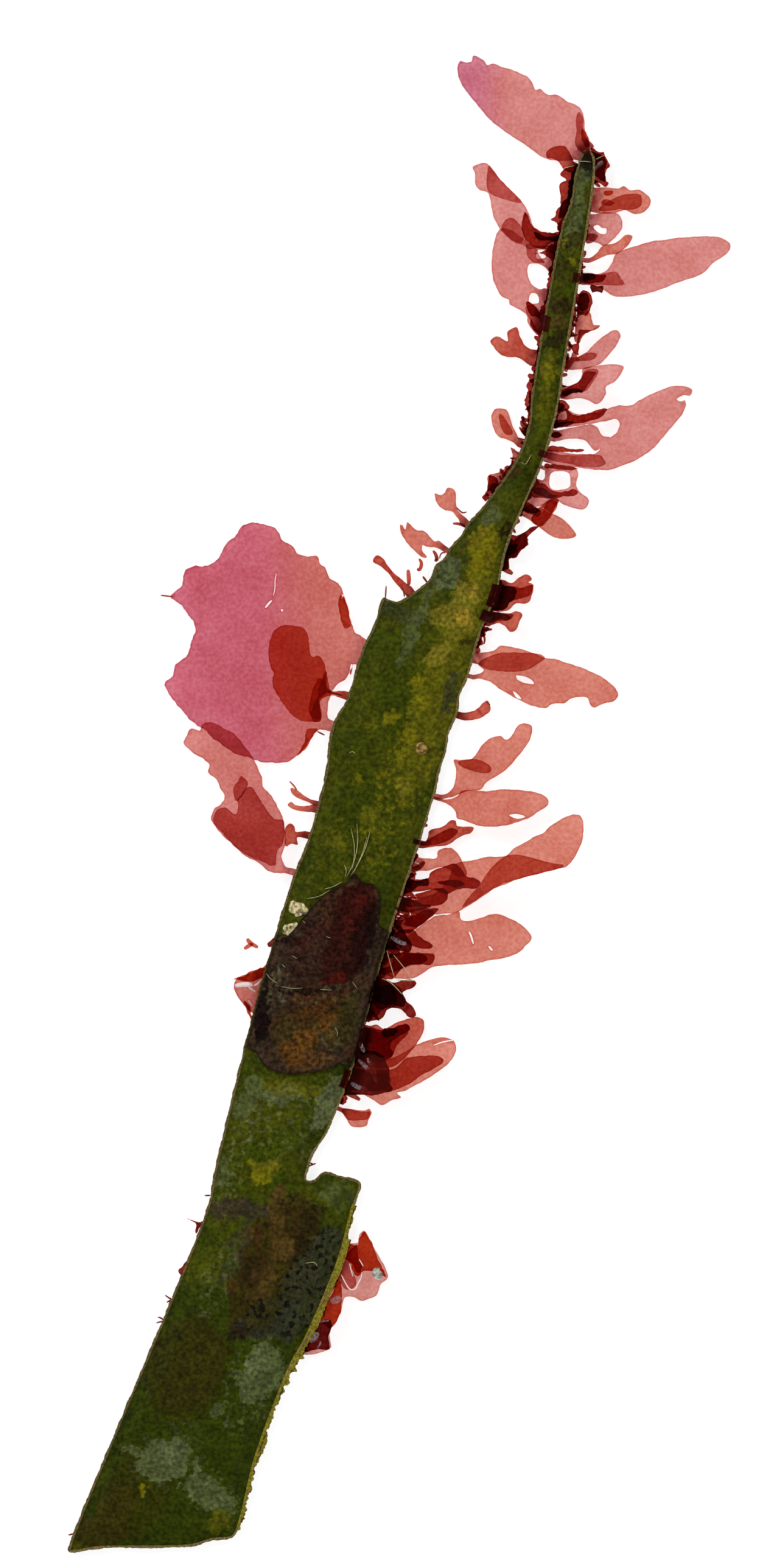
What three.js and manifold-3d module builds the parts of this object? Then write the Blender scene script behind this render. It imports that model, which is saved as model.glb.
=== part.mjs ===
// Pyropia gardneri: thin red blades growing from the margins of a strap of kelp, laid flat.
// Millimetres. X is across the specimen, Y runs along it to the tip of the kelp, and Z is up.
import * as THREE from 'three';
import { mergeVertices } from 'three/addons/utils/BufferGeometryUtils.js';
import Module from 'manifold-3d';

const wasm = await Module();
wasm.setup();

// Driving dimensions
const KELP_THICKNESS = 1.2;
const KELP_EDGE_THICKNESS = 0.75;
const KELP_EDGE_WIDTH = 1.6;
const KELP_SWELL = 0.12;
const BLADE_THICKNESS = 0.6;
const LAYER_PITCH = 0.8;
const FOLD_PITCH = 0.45;
const ROOT_GAP = 0.15;
const NEIGHBOUR_GAP = 0.12;
const REST_GAP = 0.3;
const FLOOR_GAP = 0.12;

// Young blades: the strip they stand on, each side of the margin, and how much each is lifted
const STRIP_INSIDE = 0.35;
const STRIP_OUTSIDE = 0.25;
const YOUNG_WIDTH = 0.5;
const YOUNG_SPREAD = 0.9;
const YOUNG_LIFT = 0.12;

// Waves of the red blades, which grow with the distance from the kelp
const WAVE_REACH = 6;
const WAVE_LIFT = 0.5;
const WAVE_HEIGHT = 0.42;

// Steps of the outlines and of the grid that carries the waves
const OUTLINE_STEP = 1.3;
const BLADE_CELL = 1.9;
const KELP_CELL = 3;

// Heights between which a flat outline cuts, well clear of every blade
const CUT_BOTTOM = -1;
const CUT_TOP = 12;

const SAME_POINT = 1e-5;
const BLADE_ROUGHNESS = 0.55;
const KELP_ROUGHNESS = 0.6;

const COLOURS = {
  kelp: 0x43460c,
  red: 0xcf8079,
  magenta: 0xc45a6f,
  dark: 0x7a1410,
  brown: 0x49291d,
  glossy: 0xb3342c,
};

// A closed smooth outline through hand-placed points, which all stay on it
function smoothOutline(points) {
  const corners = points.map(([x, y]) => new THREE.Vector3(x, y, 0));
  const curve = new THREE.CatmullRomCurve3(corners, true, 'centripetal');
  const outline = [];
  corners.forEach((corner, index) => {
    const next = corners[(index + 1) % corners.length];
    const steps = Math.max(1, Math.round(corner.distanceTo(next) / OUTLINE_STEP));
    for (let step = 0; step < steps; step += 1) {
      const point = curve.getPoint((index + step / steps) / corners.length);
      outline.push(new THREE.Vector2(point.x, point.y));
    }
  });
  return outline;
}

function toSolid(geometry) {
  geometry.deleteAttribute('uv');
  geometry.deleteAttribute('normal');
  const merged = mergeVertices(geometry, SAME_POINT);
  return new wasm.Manifold(new wasm.Mesh({
    numProp: 3,
    vertProperties: new Float32Array(merged.attributes.position.array),
    triVerts: new Uint32Array(merged.index.array),
  }));
}

// An upright prism over an outline, from one height to another
function prism(outline, holes, bottom, top) {
  const anticlockwise = THREE.ShapeUtils.isClockWise(outline) ? outline.toReversed() : outline;
  const shape = new THREE.Shape(anticlockwise);
  holes.forEach((hole) => shape.holes.push(new THREE.Path(hole)));
  const geometry = new THREE.ExtrudeGeometry(shape, { depth: top - bottom, bevelEnabled: false });
  geometry.translate(0, 0, bottom);
  return toSolid(geometry);
}

// A slab on a square grid, with its two faces split into triangles alike
function gridSlab(outline, cell, lowHeight, highHeight) {
  const box = new THREE.Box2().setFromPoints(outline);
  const firstColumn = Math.floor(box.min.x / cell) - 1;
  const firstRow = Math.floor(box.min.y / cell) - 1;
  const columns = Math.ceil(box.max.x / cell) + 1 - firstColumn;
  const rows = Math.ceil(box.max.y / cell) + 1 - firstRow;
  const corners = [];
  const triangles = [];
  const layer = (columns + 1) * (rows + 1);
  for (const height of [lowHeight, highHeight]) {
    for (let row = 0; row <= rows; row += 1) {
      for (let column = 0; column <= columns; column += 1) {
        const x = (firstColumn + column) * cell;
        const y = (firstRow + row) * cell;
        corners.push(x, y, height(x, y));
      }
    }
  }
  const corner = (column, row) => row * (columns + 1) + column;
  for (let row = 0; row < rows; row += 1) {
    for (let column = 0; column < columns; column += 1) {
      const a = corner(column, row);
      const b = corner(column + 1, row);
      const c = corner(column + 1, row + 1);
      const d = corner(column, row + 1);
      triangles.push(a, c, b, a, d, c);
      triangles.push(layer + a, layer + b, layer + c, layer + a, layer + c, layer + d);
    }
  }
  const wall = (from, to) => triangles.push(from, to, layer + to, from, layer + to, layer + from);
  for (let column = 0; column < columns; column += 1) {
    wall(corner(column, 0), corner(column + 1, 0));
    wall(corner(column + 1, rows), corner(column, rows));
  }
  for (let row = 0; row < rows; row += 1) {
    wall(corner(columns, row), corner(columns, row + 1));
    wall(corner(0, row + 1), corner(0, row));
  }
  return new wasm.Manifold(new wasm.Mesh({
    numProp: 3,
    vertProperties: new Float32Array(corners),
    triVerts: new Uint32Array(triangles),
  }));
}

// The kelp strap, clockwise from its tip: right margin, cut end, left margin
const KELP_POINTS = [
  [12.6, 44.55], [12.95, 44.68], [13.2, 44.4], [13.28, 42], [13.1, 40], [12.6, 37.5], [12.2, 35],
  [11.7, 32], [11.15, 29.5], [10.85, 27.5], [10.35, 25.6], [9.95, 24], [9.4, 22.6], [8.75, 21],
  [8.3, 20], [7.95, 19.2], [7.5, 18.15], [7.15, 17], [6.9, 15.7], [6.55, 14.3], [6.05, 13],
  [5.45, 11.6], [5.05, 10.2], [4.65, 8.8], [4.1, 7.5], [3.9, 6.2], [3.35, 4.9], [3.15, 3.6],
  [2.7, 2.3], [2.42, 0.9], [2.1, 0], [1.7, -1.2], [1.2, -2.6], [0.75, -3.9], [0.3, -5.2],
  [-0.1, -6.5], [-0.5, -7.85], [-0.85, -9.2], [-1.3, -10.7], [-1.65, -12.3], [-2.1, -13.9],
  [-2.55, -15.3], [-3, -17], [-3.4, -18.4], [-4, -20], [-4.6, -21.4], [-5.1, -22.6], [-5.9, -23.8],
  [-6.28, -24.9], [-6.35, -25.65], [-5.85, -25.7], [-5.35, -25.25], [-5.1, -25.15], [-4.2, -25.35],
  [-2.7, -25.85], [-2.68, -26.1], [-3.2, -27.6], [-3.65, -29.3], [-4.1, -31], [-4.75, -32.7],
  [-5.5, -34.5], [-6.45, -36.6], [-7.35, -38.2], [-8.1, -40.3], [-9, -42.6], [-9.8, -44.6],
  [-10.3, -46.6], [-10.8, -48.7], [-11.2, -49.8], [-11.45, -50.05], [-12.8, -50.2], [-14.2, -50.6],
  [-17, -50.7], [-20.5, -50.75], [-22.5, -51], [-22.55, -50.9], [-22.2, -49.8], [-21.4, -47.8],
  [-20.35, -45.6], [-19.4, -43.4], [-18.5, -41.3], [-17.4, -39.2], [-16.2, -36.4], [-15.3, -33.7],
  [-14.2, -30.9], [-13.55, -29], [-13, -27.3], [-12.6, -25.2], [-11.8, -22.6], [-10.9, -20],
  [-10.3, -17.6], [-9.95, -15.2], [-9.5, -12.6], [-8.75, -10.1], [-8.05, -8], [-7.5, -6.2],
  [-7, -4.4], [-6.4, -3], [-5.95, -1.4], [-5.4, 0.5], [-4.95, 2.3], [-4.75, 4.3], [-4.4, 5.7],
  [-3.6, 7.1], [-3.05, 8.9], [-2.4, 10.8], [-1.7, 12.2], [-1.3, 13.4], [-1.02, 14.08],
  [-0.6, 13.92], [-0.1, 13.82], [0.5, 14.1], [1.2, 14.6], [2.1, 15.4], [2.6, 16.4], [3.2, 16.9],
  [3.45, 17.5], [4.2, 18.3], [4.65, 19.1], [5.46, 20], [6.2, 21], [6.96, 22], [7.7, 23],
  [8.3, 24.1], [8.9, 26], [9.1, 28], [9.5, 30], [9.98, 32], [10.37, 34], [10.7, 36], [11, 38.3],
  [11.2, 39.7], [11.7, 41], [11.98, 42.5], [12.15, 43.4],
];

const kelpOutline = smoothOutline(KELP_POINTS);

// Distance of a place from the kelp's margin, less than nothing on the kelp itself
function marginDistance(x, y) {
  let nearest = Infinity;
  let inside = false;
  kelpOutline.forEach((a, index) => {
    const b = kelpOutline[(index + 1) % kelpOutline.length];
    const along = ((x - a.x) * (b.x - a.x) + (y - a.y) * (b.y - a.y)) / a.distanceToSquared(b);
    const part = THREE.MathUtils.clamp(along, 0, 1);
    nearest = Math.min(nearest, Math.hypot(a.x + part * (b.x - a.x) - x, a.y + part * (b.y - a.y) - y));
    if ((a.y > y) !== (b.y > y) && x < a.x + (y - a.y) * (b.x - a.x) / (b.y - a.y)) {
      inside = !inside;
    }
  });
  return inside ? -nearest : nearest;
}

function kelpTop(x, y) {
  const middle = THREE.MathUtils.smoothstep(-marginDistance(x, y), 0, KELP_EDGE_WIDTH);
  const swell = KELP_SWELL * Math.sin(0.45 * y + 0.8 * x) * Math.cos(0.3 * x - 0.21 * y);
  return THREE.MathUtils.lerp(KELP_EDGE_THICKNESS, KELP_THICKNESS + swell, middle);
}

// Height of the lowest blade's underside; it is small at the roots and waves further out
function bladeHeight(x, y) {
  const reach = THREE.MathUtils.smoothstep(marginDistance(x, y), 0, WAVE_REACH);
  const wave = Math.sin(0.75 * x + 0.35 * y) * Math.cos(0.6 * y - 0.25 * x);
  return FLOOR_GAP + reach * (WAVE_LIFT + WAVE_HEIGHT * wave);
}

// One red blade: layer counts whole blades lying under it, fold counts folded parts
function blade({ outline, holes = [], layer = 0, fold = 0 }) {
  const edge = smoothOutline(outline);
  const lift = layer * LAYER_PITCH + fold * FOLD_PITCH;
  const low = (x, y) => bladeHeight(x, y) + lift;
  const high = (x, y) => low(x, y) + BLADE_THICKNESS;
  return gridSlab(edge, BLADE_CELL, low, high)
    .intersect(prism(edge, holes.map(smoothOutline), CUT_BOTTOM, CUT_TOP));
}

function seededRandom(seed) {
  let state = seed;
  return () => {
    state = (state * 1664525 + 1013904223) % 4294967296;
    return state / 4294967296;
  };
}

// A row of young lance-shaped blades that fan out from a strip along the margin
function youngBlades({ from, to, count, length, spread = YOUNG_SPREAD, side = 1, layer = 0, seed }) {
  const random = seededRandom(seed);
  const start = new THREE.Vector2(...from);
  const end = new THREE.Vector2(...to);
  const along = end.clone().sub(start).normalize();
  const outward = new THREE.Vector2(along.y, -along.x).multiplyScalar(side);
  const base = FLOOR_GAP + layer * LAYER_PITCH;
  const inner = outward.clone().multiplyScalar(-STRIP_INSIDE);
  const outer = outward.clone().multiplyScalar(STRIP_OUTSIDE);
  const strip = [
    start.clone().add(inner),
    end.clone().add(inner),
    end.clone().add(outer),
    start.clone().add(outer),
  ];
  let row = prism(strip, [], base, base + BLADE_THICKNESS);
  for (let index = 0; index < count; index += 1) {
    const root = start.clone().lerp(end, (index + 0.5) / count);
    const turn = (random() - 0.5) * 2 * spread;
    const reach = THREE.MathUtils.lerp(length[0], length[1], random());
    const half = YOUNG_WIDTH * THREE.MathUtils.lerp(0.7, 1.2, random()) / 2;
    const rootWidth = half * 0.6;
    const lance = [
      [-STRIP_OUTSIDE, rootWidth],
      [-STRIP_OUTSIDE, -rootWidth],
      [reach * 0.55, -half],
      [reach, 0],
      [reach * 0.6, half],
    ];
    const outline = lance.map(([out, aside]) => {
      const point = outward.clone().multiplyScalar(out).addScaledVector(along, aside);
      return point.rotateAround(new THREE.Vector2(), turn).add(root);
    });
    const lift = base + YOUNG_LIFT * random();
    row = row.add(prism(outline, [], lift, lift + BLADE_THICKNESS));
  }
  return row;
}

// A solid with a little room all round it, by which its neighbours are trimmed
function withRoom(core, gap) {
  const directions = 6;
  let room = core;
  for (let turn = 0; turn < directions; turn += 1) {
    const angle = turn * 2 * Math.PI / directions;
    room = room.add(core.translate([gap * Math.cos(angle), gap * Math.sin(angle), 0]));
  }
  return room.add(core.translate([0, 0, gap])).add(core.translate([0, 0, -gap]));
}

const kelpCutter = withRoom(prism(kelpOutline, [], CUT_BOTTOM, CUT_TOP), ROOT_GAP);

// Fronds of the tip
const TIP_FRONDS = {
  tip_frond: {
    colour: 'red',
    blades: [{
      outline: [
        [12.25, 44.2], [12.7, 44.75], [13.3, 44.95], [12.95, 45.4], [12.7, 46], [12.55, 47.1],
        [12.3, 47.65], [11.5, 48.05], [10.75, 48.5], [10.2, 48.5], [9.9, 48.65], [9.6, 48.9],
        [9.3, 48.8], [9.15, 49.15], [8.85, 49.6], [8.3, 49.9], [7.6, 50.15], [7, 50.4], [6.4, 50.6],
        [6, 50.5], [5.8, 50.8], [5.4, 51.05], [5.05, 51.13], [4.95, 50.75], [4.6, 50.7], [4.15, 50.8],
        [3.98, 50.4], [4.02, 49.75], [4.4, 49.05], [5, 48.2], [5.6, 47.45], [6.4, 46.6], [7.4, 45.85],
        [8.3, 45.3], [9.2, 44.65], [10, 44.15], [11.2, 44],
      ],
    }, {
      fold: 1,
      outline: [
        [12.4, 44.6], [12.95, 45.1], [12.6, 45.9], [12.55, 46.9], [12.25, 47.3], [12.05, 46.9],
        [12.1, 46], [12, 45.2],
      ],
    }],
  },
  tip_foot_blade: {
    colour: 'dark',
    blades: [{
      layer: 1,
      outline: [
        [12.05, 43.35], [11.9, 43.95], [11.6, 44.6], [11.3, 44.95], [10.8, 44.98], [10.3, 44.8],
        [10.02, 44.5], [10.1, 44.15], [10.5, 44.1], [10.9, 43.85], [11.2, 43.4], [11.6, 43.2],
      ],
    }],
  },
  tip_tuft_left: {
    colour: 'dark',
    tufts: [{ from: [11.72, 43.1], to: [11.3, 40.8], count: 7, length: [0.5, 0.9], side: 1, seed: 3 },
      { from: [11.3, 40.9], to: [11.0, 39.3], count: 5, length: [0.4, 0.7], side: 1, seed: 5 }],
  },
  tip_tuft_right: {
    colour: 'dark',
    tufts: [{ from: [13.45, 42.7], to: [13.4, 44.5], count: 7, length: [0.5, 0.85], side: 1, seed: 8 }],
  },
};

// Fronds of the right margin, from the tip down
const RIGHT_FRONDS = {
  right_frond_01: {
    colour: 'red',
    blades: [{
      layer: 1,
      outline: [
        [13, 42], [14, 42.05], [15, 42.1], [15.3, 42.28], [15.75, 41.98], [16.4, 41.95], [17, 41.5],
        [17.15, 41.15], [16.8, 40.55], [16.2, 40.3], [15.4, 40.6], [14.9, 40.4], [14, 40.35],
        [13, 40.6],
      ],
    }, {
      layer: 1,
      fold: 1,
      outline: [
        [13.6, 40.6], [14, 41.05], [14.6, 41.35], [15.2, 41.6], [15.9, 41.7], [16.5, 41.6],
        [16.5, 40.9], [16.1, 40.65], [15, 40.62], [14.2, 40.5],
      ],
    }],
  },
  right_frond_02: {
    colour: 'red',
    blades: [{
      outline: [
        [12.8, 40.25], [13.6, 40.3], [14.5, 40.35], [14.9, 40.4], [15.15, 40.1], [15.2, 39.35],
        [14.8, 38.8], [14.4, 38.5], [14, 38.2], [13.6, 38.4], [13, 38.6], [12.7, 38.7], [12.75, 39.3],
      ],
      holes: [[
        [13.4, 39.2], [13.25, 39.5], [13.6, 39.65], [13.85, 39.45], [14.15, 39.4], [14.1, 39],
        [13.75, 39],
      ]],
    }],
  },
  right_frond_03: {
    colour: 'red',
    blades: [{
      layer: 1,
      outline: [
        [12.4, 37.05], [13.1, 37.4], [13.5, 37.7], [13.9, 38.2], [14.6, 38.3], [15.1, 38.6],
        [15.5, 38.9], [15.9, 38.8], [15.75, 38.3], [15.4, 38.05], [14.8, 37.6], [14.3, 37.55],
        [13.6, 37.25], [12.9, 37],
      ],
    }],
  },
  right_frond_04: {
    colour: 'red',
    blades: [{
      outline: [
        [12.3, 36.2], [13.4, 36.25], [14, 36.4], [14.5, 37], [14.8, 37.65], [15.5, 37.9], [16.3, 38.2],
        [17, 38.4], [18.3, 38.6], [19.6, 38.75], [21.1, 38.85], [22, 38.72], [22.6, 38.3],
        [22.55, 37.9], [22.1, 37.45], [21.4, 36.95], [20.8, 36.35], [20.1, 36], [19.4, 35.8],
        [18.7, 35.5], [17.6, 35.1], [16.6, 34.85], [15.2, 34.7], [14.5, 34.8], [13.85, 35.25],
        [13, 35.5], [12.2, 35.6],
      ],
    }, {
      fold: 1,
      outline: [
        [12.5, 36.2], [13.6, 36.22], [14.8, 36.38], [15.1, 36], [15.4, 35.55], [14, 35.5], [12.5, 35.65],
      ],
    }],
  },
  right_tuft_01: {
    colour: 'dark',
    tufts: [{ from: [11.95, 31.7], to: [12.35, 34.9], count: 10, length: [0.8, 1.5], layer: 1, seed: 12 }],
  },
  right_frond_05: {
    colour: 'red',
    blades: [{
      outline: [
        [14.85, 32.42], [14.2, 32.2], [13.5, 31.65], [12.9, 31.05], [12.2, 30.6], [11.2, 30.4],
        [11.1, 29.8], [12.5, 29.9], [13.45, 30], [14, 30.5], [14.6, 31.05], [15, 31.75], [15.1, 32.1],
      ],
    }, {
      fold: 1,
      outline: [
        [12, 30.4], [12.6, 30.7], [13, 30.9], [13.5, 30.75], [13.3, 30.45], [12.6, 30.3],
      ],
    }],
  },
  right_frond_06: {
    colour: 'red',
    blades: [{
      layer: 1,
      outline: [
        [12.5, 29.75], [13.4, 29.95], [14.3, 30.02], [14.8, 30.05], [15.3, 29.9], [15.15, 29.4],
        [14.7, 28.9], [14.1, 28.5], [14.1, 28], [13.5, 27.35], [12.9, 27.6], [12.3, 27.75],
        [11.4, 27.7], [10.7, 27.9], [10.7, 28.4], [11.6, 28.6], [12.1, 28.8], [12.5, 29.2],
      ],
    }, {
      layer: 1,
      fold: 1,
      outline: [
        [12.65, 29.6], [13.3, 29.75], [13.55, 29.6], [13.3, 29], [12.65, 28.2], [12.3, 28.45],
      ],
    }],
  },
  right_frond_07: {
    colour: 'red',
    blades: [{
      outline: [
        [14.2, 27.05], [15, 27.25], [15.9, 27.3], [16.5, 27.7], [17.5, 28.15], [18.3, 28.5],
        [19, 28.62], [19.8, 28.5], [20.05, 28.3], [19.85, 27.98], [19.4, 28], [18.95, 27.7],
        [19.2, 27.55], [19.5, 27.65], [19.6, 27.35], [19.3, 26.7], [18.8, 26.1], [18, 25.05],
        [17.3, 24.3], [16.4, 23.65], [15.1, 23.1], [14.2, 22.85], [13.1, 22.95], [12, 23.05],
        [10.9, 23.3], [9.4, 23.6], [9.7, 24.2], [10.9, 24.1], [12.2, 23.95], [13.4, 24], [14, 24.6],
        [14.4, 25.05], [14.8, 25.4], [15.05, 26], [14.6, 26.6],
      ],
    }, {
      outline: [
        [10.2, 26.6], [11.3, 27.05], [12, 26.75], [13, 26.72], [14, 27], [15, 27.28], [15.85, 27.25],
        [15.7, 26.8], [14.8, 26.35], [13.9, 26.15], [13, 26.1], [11.8, 26], [10.3, 25.9],
      ],
    }, {
      outline: [
        [10.2, 25.3], [11.3, 25.6], [12.2, 25.85], [13, 26], [13.5, 25.8], [13.9, 25.2], [14.4, 25.1],
        [14.2, 24.5], [13.4, 24.2], [12.6, 24.95], [11.6, 25], [10.2, 24.8],
      ],
    }, {
      fold: 1,
      outline: [
        [9.9, 24.1], [11, 23.9], [12, 23.88], [13.2, 23.95], [13.8, 23.8], [14.1, 23.3], [13.6, 23.05],
        [12.4, 23.1], [11.2, 23.4], [10, 23.7],
      ],
    }],
  },
  right_frond_08: {
    colour: 'red',
    blades: [{
      layer: 2,
      outline: [
        [9, 23.05], [10.2, 23.05], [12, 22.95], [12.2, 22.5], [12.05, 21.9], [12.3, 21.35],
        [12.8, 20.95], [12.95, 20.6], [12.6, 20.15], [12, 20.18], [11.2, 20.45], [10.7, 20.75],
        [10, 20.5], [9.2, 20.3], [8.4, 20.4], [8.6, 21.2], [9, 22],
      ],
      holes: [[
        [10.35, 21.6], [10.35, 22.6], [11, 22.8], [11.6, 22.6], [11.6, 21.7], [11, 21.5],
      ], [
        [9.45, 22.15], [9.5, 22.85], [9.9, 22.9], [9.9, 22.2],
      ]],
    }],
  },
  right_frond_09: {
    colour: 'red',
    blades: [{
      outline: [
        [8, 19.85], [8.9, 20.1], [9.7, 20.3], [10.4, 19.9], [10.9, 19.7], [11.4, 19.35], [11.8, 18.9],
        [12.1, 18.4], [11.7, 18.2], [11.2, 18.15], [10.7, 18.25], [10.2, 18.5], [9.6, 18.9],
        [9, 19.35], [8.6, 19.65],
      ],
    }, {
      fold: 1,
      outline: [
        [9, 19.45], [9.5, 19.02], [9.9, 19.1], [10.3, 19.7], [10.6, 20.3], [10.9, 20.8], [10.4, 20.9],
        [9.9, 20.5], [9.3, 20],
      ],
    }],
  },
  right_frond_10: {
    colour: 'dark',
    blades: [{
      layer: 1,
      outline: [
        [9.55, 19], [9, 18.98], [8.6, 18.65], [7.9, 18.32], [7.2, 18], [6.9, 17], [6.8, 16.1],
        [7.5, 16.15], [7.5, 16.8], [7.95, 16.95], [8.2, 17.35], [8.8, 17.75], [8.7, 18.15],
        [8.9, 18.4],
      ],
    }],
  },
  right_frond_11: {
    colour: 'dark',
    blades: [{
      outline: [
        [6.5, 15.3], [7.2, 15.35], [7.7, 15.15], [8.2, 15.5], [8.75, 15.72], [9.05, 15.35],
        [8.75, 15.2], [9.15, 15.05], [9.05, 14.5], [8.9, 13.85], [8.6, 13.7], [7.95, 13.75],
        [7.5, 13.35], [6.9, 13.2], [6, 13.35],
      ],
    }, {
      fold: 1,
      outline: [
        [6.6, 14.9], [7.4, 14.9], [8.2, 14.85], [9.1, 15], [8.9, 14.3], [8.2, 14.05], [7.6, 13.9],
        [7.3, 13.4], [6.5, 13.4],
      ],
    }],
  },
  right_frond_12: {
    colour: 'dark',
    blades: [{
      layer: 1,
      outline: [
        [5.8, 13.05], [6.9, 13.1], [7.6, 13.1], [7.95, 13.2], [8.35, 13], [8.15, 12.4], [7.9, 11.85],
        [7.55, 11.82], [7.1, 12.25], [6.6, 12.4], [6.1, 12.15], [5.5, 11.9],
      ],
    }, {
      layer: 1,
      fold: 1,
      outline: [[6, 12.95], [7, 13.05], [7.8, 12.95], [7.5, 12.6], [6.8, 12.55], [6.1, 12.4]],
    }],
  },
  right_tuft_02: {
    colour: 'dark',
    tufts: [{ from: [5.35, 10.9], to: [5.75, 11.75], count: 5, length: [0.5, 0.95], spread: 0.5, seed: 21 }],
  },
  right_frond_13: {
    colour: 'red',
    blades: [{
      outline: [
        [4.5, 8.72], [5.5, 8.95], [5.8, 9.2], [5.4, 9.6], [5.6, 9.85], [6.6, 10.28], [7.2, 10.38],
        [8.2, 10.4], [9.1, 10.35], [10, 10.02], [10.6, 9.98], [11.3, 9.7], [12.2, 9.45], [13.2, 9.05],
        [14.2, 8.5], [14.75, 7.95], [14.9, 7.45], [14.6, 7.08], [14, 6.9], [13.3, 6.63], [13.05, 6.8],
        [12.85, 7.3], [12.4, 7.35], [11.7, 7.25], [11.3, 6.95], [10.4, 6.88], [10.05, 6.6],
        [9.3, 6.7], [8.4, 7.05], [7.6, 7.5], [6.9, 7.9], [6.2, 8.4], [5.5, 8.6], [4.4, 8.55],
      ],
      holes: [[
        [7.98, 8.82], [8.6, 8.75], [9, 8.55], [9.2, 8.25], [8.6, 8.3], [8.05, 8.55],
      ], [
        [7.75, 7.78], [8, 7.65], [8.35, 7.2], [7.95, 7.35],
      ]],
    }],
  },
  right_frond_14: {
    colour: 'red',
    blades: [{
      layer: 1,
      outline: [
        [4.7, 9.75], [5.35, 9.6], [6, 9.25], [7, 9.1], [7.7, 9.07], [8.5, 9.15], [9.3, 9.5],
        [9.95, 10], [9.7, 10.27], [9.2, 10.35], [8.4, 10.6], [7.5, 10.8], [6.9, 10.85], [6.4, 10.5],
        [5.8, 10.42], [5.35, 10.35], [4.8, 10.2],
      ],
    }],
  },
  right_frond_15: {
    colour: 'dark',
    blades: [{
      outline: [
        [3.5, 6.4], [4.6, 6.3], [5.2, 6.5], [5.7, 6.95], [6.05, 7.12], [6.2, 6.8], [6.15, 6.4],
        [5.8, 6.1], [5.4, 5.85], [4.7, 5.85], [3.4, 5.9],
      ],
    }],
  },
  right_frond_16: {
    colour: 'red',
    blades: [{
      outline: [
        [2, 0.75], [2.9, 0.68], [3.5, 0.95], [3.78, 1.5], [3.85, 2.4], [3.7, 3.1], [4.3, 3.05],
        [4.95, 3.12], [5.4, 3.7], [5.8, 4.25], [6.3, 4.6], [7, 4.66], [7.2, 4.46], [7.5, 4.5],
        [7.8, 4.95], [8.1, 5.4], [8.6, 5.53], [9, 5.45], [9.1, 5.1], [8.9, 4.4], [8.4, 3.7],
        [7.8, 3], [7.2, 2.35], [6.6, 1.9], [5.95, 1.5], [5.6, 1.05], [4.8, 0.98], [4.1, 0.7],
        [3.5, 0.48], [2, 0.35],
      ],
    }, {
      fold: 1,
      outline: [
        [4, 2.88], [4.9, 3.12], [5.7, 2.98], [6.3, 2.45], [6.1, 2.17], [5.4, 2.28], [4.6, 2.42],
      ],
    }],
  },
  right_frond_17: {
    colour: 'red',
    blades: [{
      layer: 1,
      outline: [
        [2, 0.65], [3, 0.35], [3.9, 0.5], [4.3, 0.92], [5.1, 1], [6, 0.93], [7.2, 1.07], [8.4, 0.95],
        [9.5, 0.78], [10.1, 0.4], [10.15, 0.02], [9.6, -0.4], [8.8, -0.9], [7.7, -1.3], [6.6, -1.47],
        [5.4, -1.4], [4.5, -1.08], [3.9, -0.92], [3.85, -0.5], [3.4, -0.02], [2.6, 0.3], [1.9, 0.3],
      ],
      holes: [[[7.5, -0.72], [8, -0.62], [8.6, -0.82], [8.1, -0.95]]],
    }],
  },
  right_frond_18: {
    colour: 'dark',
    blades: [{
      outline: [
        [0.7, -3.3], [1.5, -2.75], [2, -2.2], [2, -1.8], [2.9, -1.52], [3.5, -1.05], [3.85, -1.1],
        [3.95, -1.45], [4.5, -1.5], [5.1, -1.58], [4.9, -1.9], [4.3, -2.12], [3.8, -2.45],
        [3.3, -2.75], [2.6, -2.85], [1.6, -3],
      ],
    }, {
      fold: 1,
      outline: [
        [1.5, -2.8], [2.1, -2.3], [2.8, -1.95], [3.6, -1.6], [4, -1.8], [3.5, -2.35], [2.7, -2.7],
      ],
    }],
  },
  right_frond_19: {
    colour: 'red',
    blades: [{
      outline: [
        [0.4, -3.7], [1.7, -3.65], [2.55, -3.6], [2.6, -3.2], [2.9, -3], [3.5, -2.95], [4, -3.35],
        [4.3, -3.9], [4.6, -4.8], [4, -4.9], [3.4, -4.4], [2.6, -4.35], [1.9, -4.5], [1, -4.6],
        [0.4, -5.2], [0.1, -4.5],
      ],
    }],
    tufts: [{ from: [0.25, -5.3], to: [0.75, -3.9], count: 5, length: [0.6, 1.1], seed: 31 }],
  },
  right_frond_20: {
    colour: 'dark',
    blades: [{
      layer: 1,
      outline: [
        [0, -5.35], [1.2, -5.1], [2, -5], [2.15, -4.65], [2.8, -4.3], [3.8, -4.05], [4.2, -4.4],
        [4.6, -4.88], [5.2, -5.02], [5.55, -5.3], [5.3, -5.68], [4.6, -5.7], [3.9, -5.82],
        [3.2, -6.1], [2.4, -5.85], [1, -6], [0, -5.9],
      ],
    }, {
      layer: 1,
      fold: 1,
      outline: [[2.6, -5.3], [3.4, -5.15], [4.2, -5.2], [4.45, -5.45], [3.9, -5.65], [3.1, -5.5]],
    }],
  },
  right_frond_21: {
    colour: 'red',
    blades: [{
      layer: 2.5,
      outline: [
        [11.9, -0.65], [12.35, -0.75], [12.55, -1.4], [12.45, -2.4], [12.2, -3.1], [11.85, -3.75],
        [11.4, -4.2], [10.4, -4.45], [9.5, -4.75], [8.4, -5.05], [7.2, -5.4], [6.2, -5.9],
        [5.3, -6.5], [4.1, -7.25], [3.4, -7.45], [2.4, -7.35], [1.2, -7.2], [-0.4, -7.1],
        [-0.2, -6.5], [1, -6.3], [2.4, -6.1], [3.3, -5.2], [3.7, -4.2], [4.2, -3.87], [5, -3.78],
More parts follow.
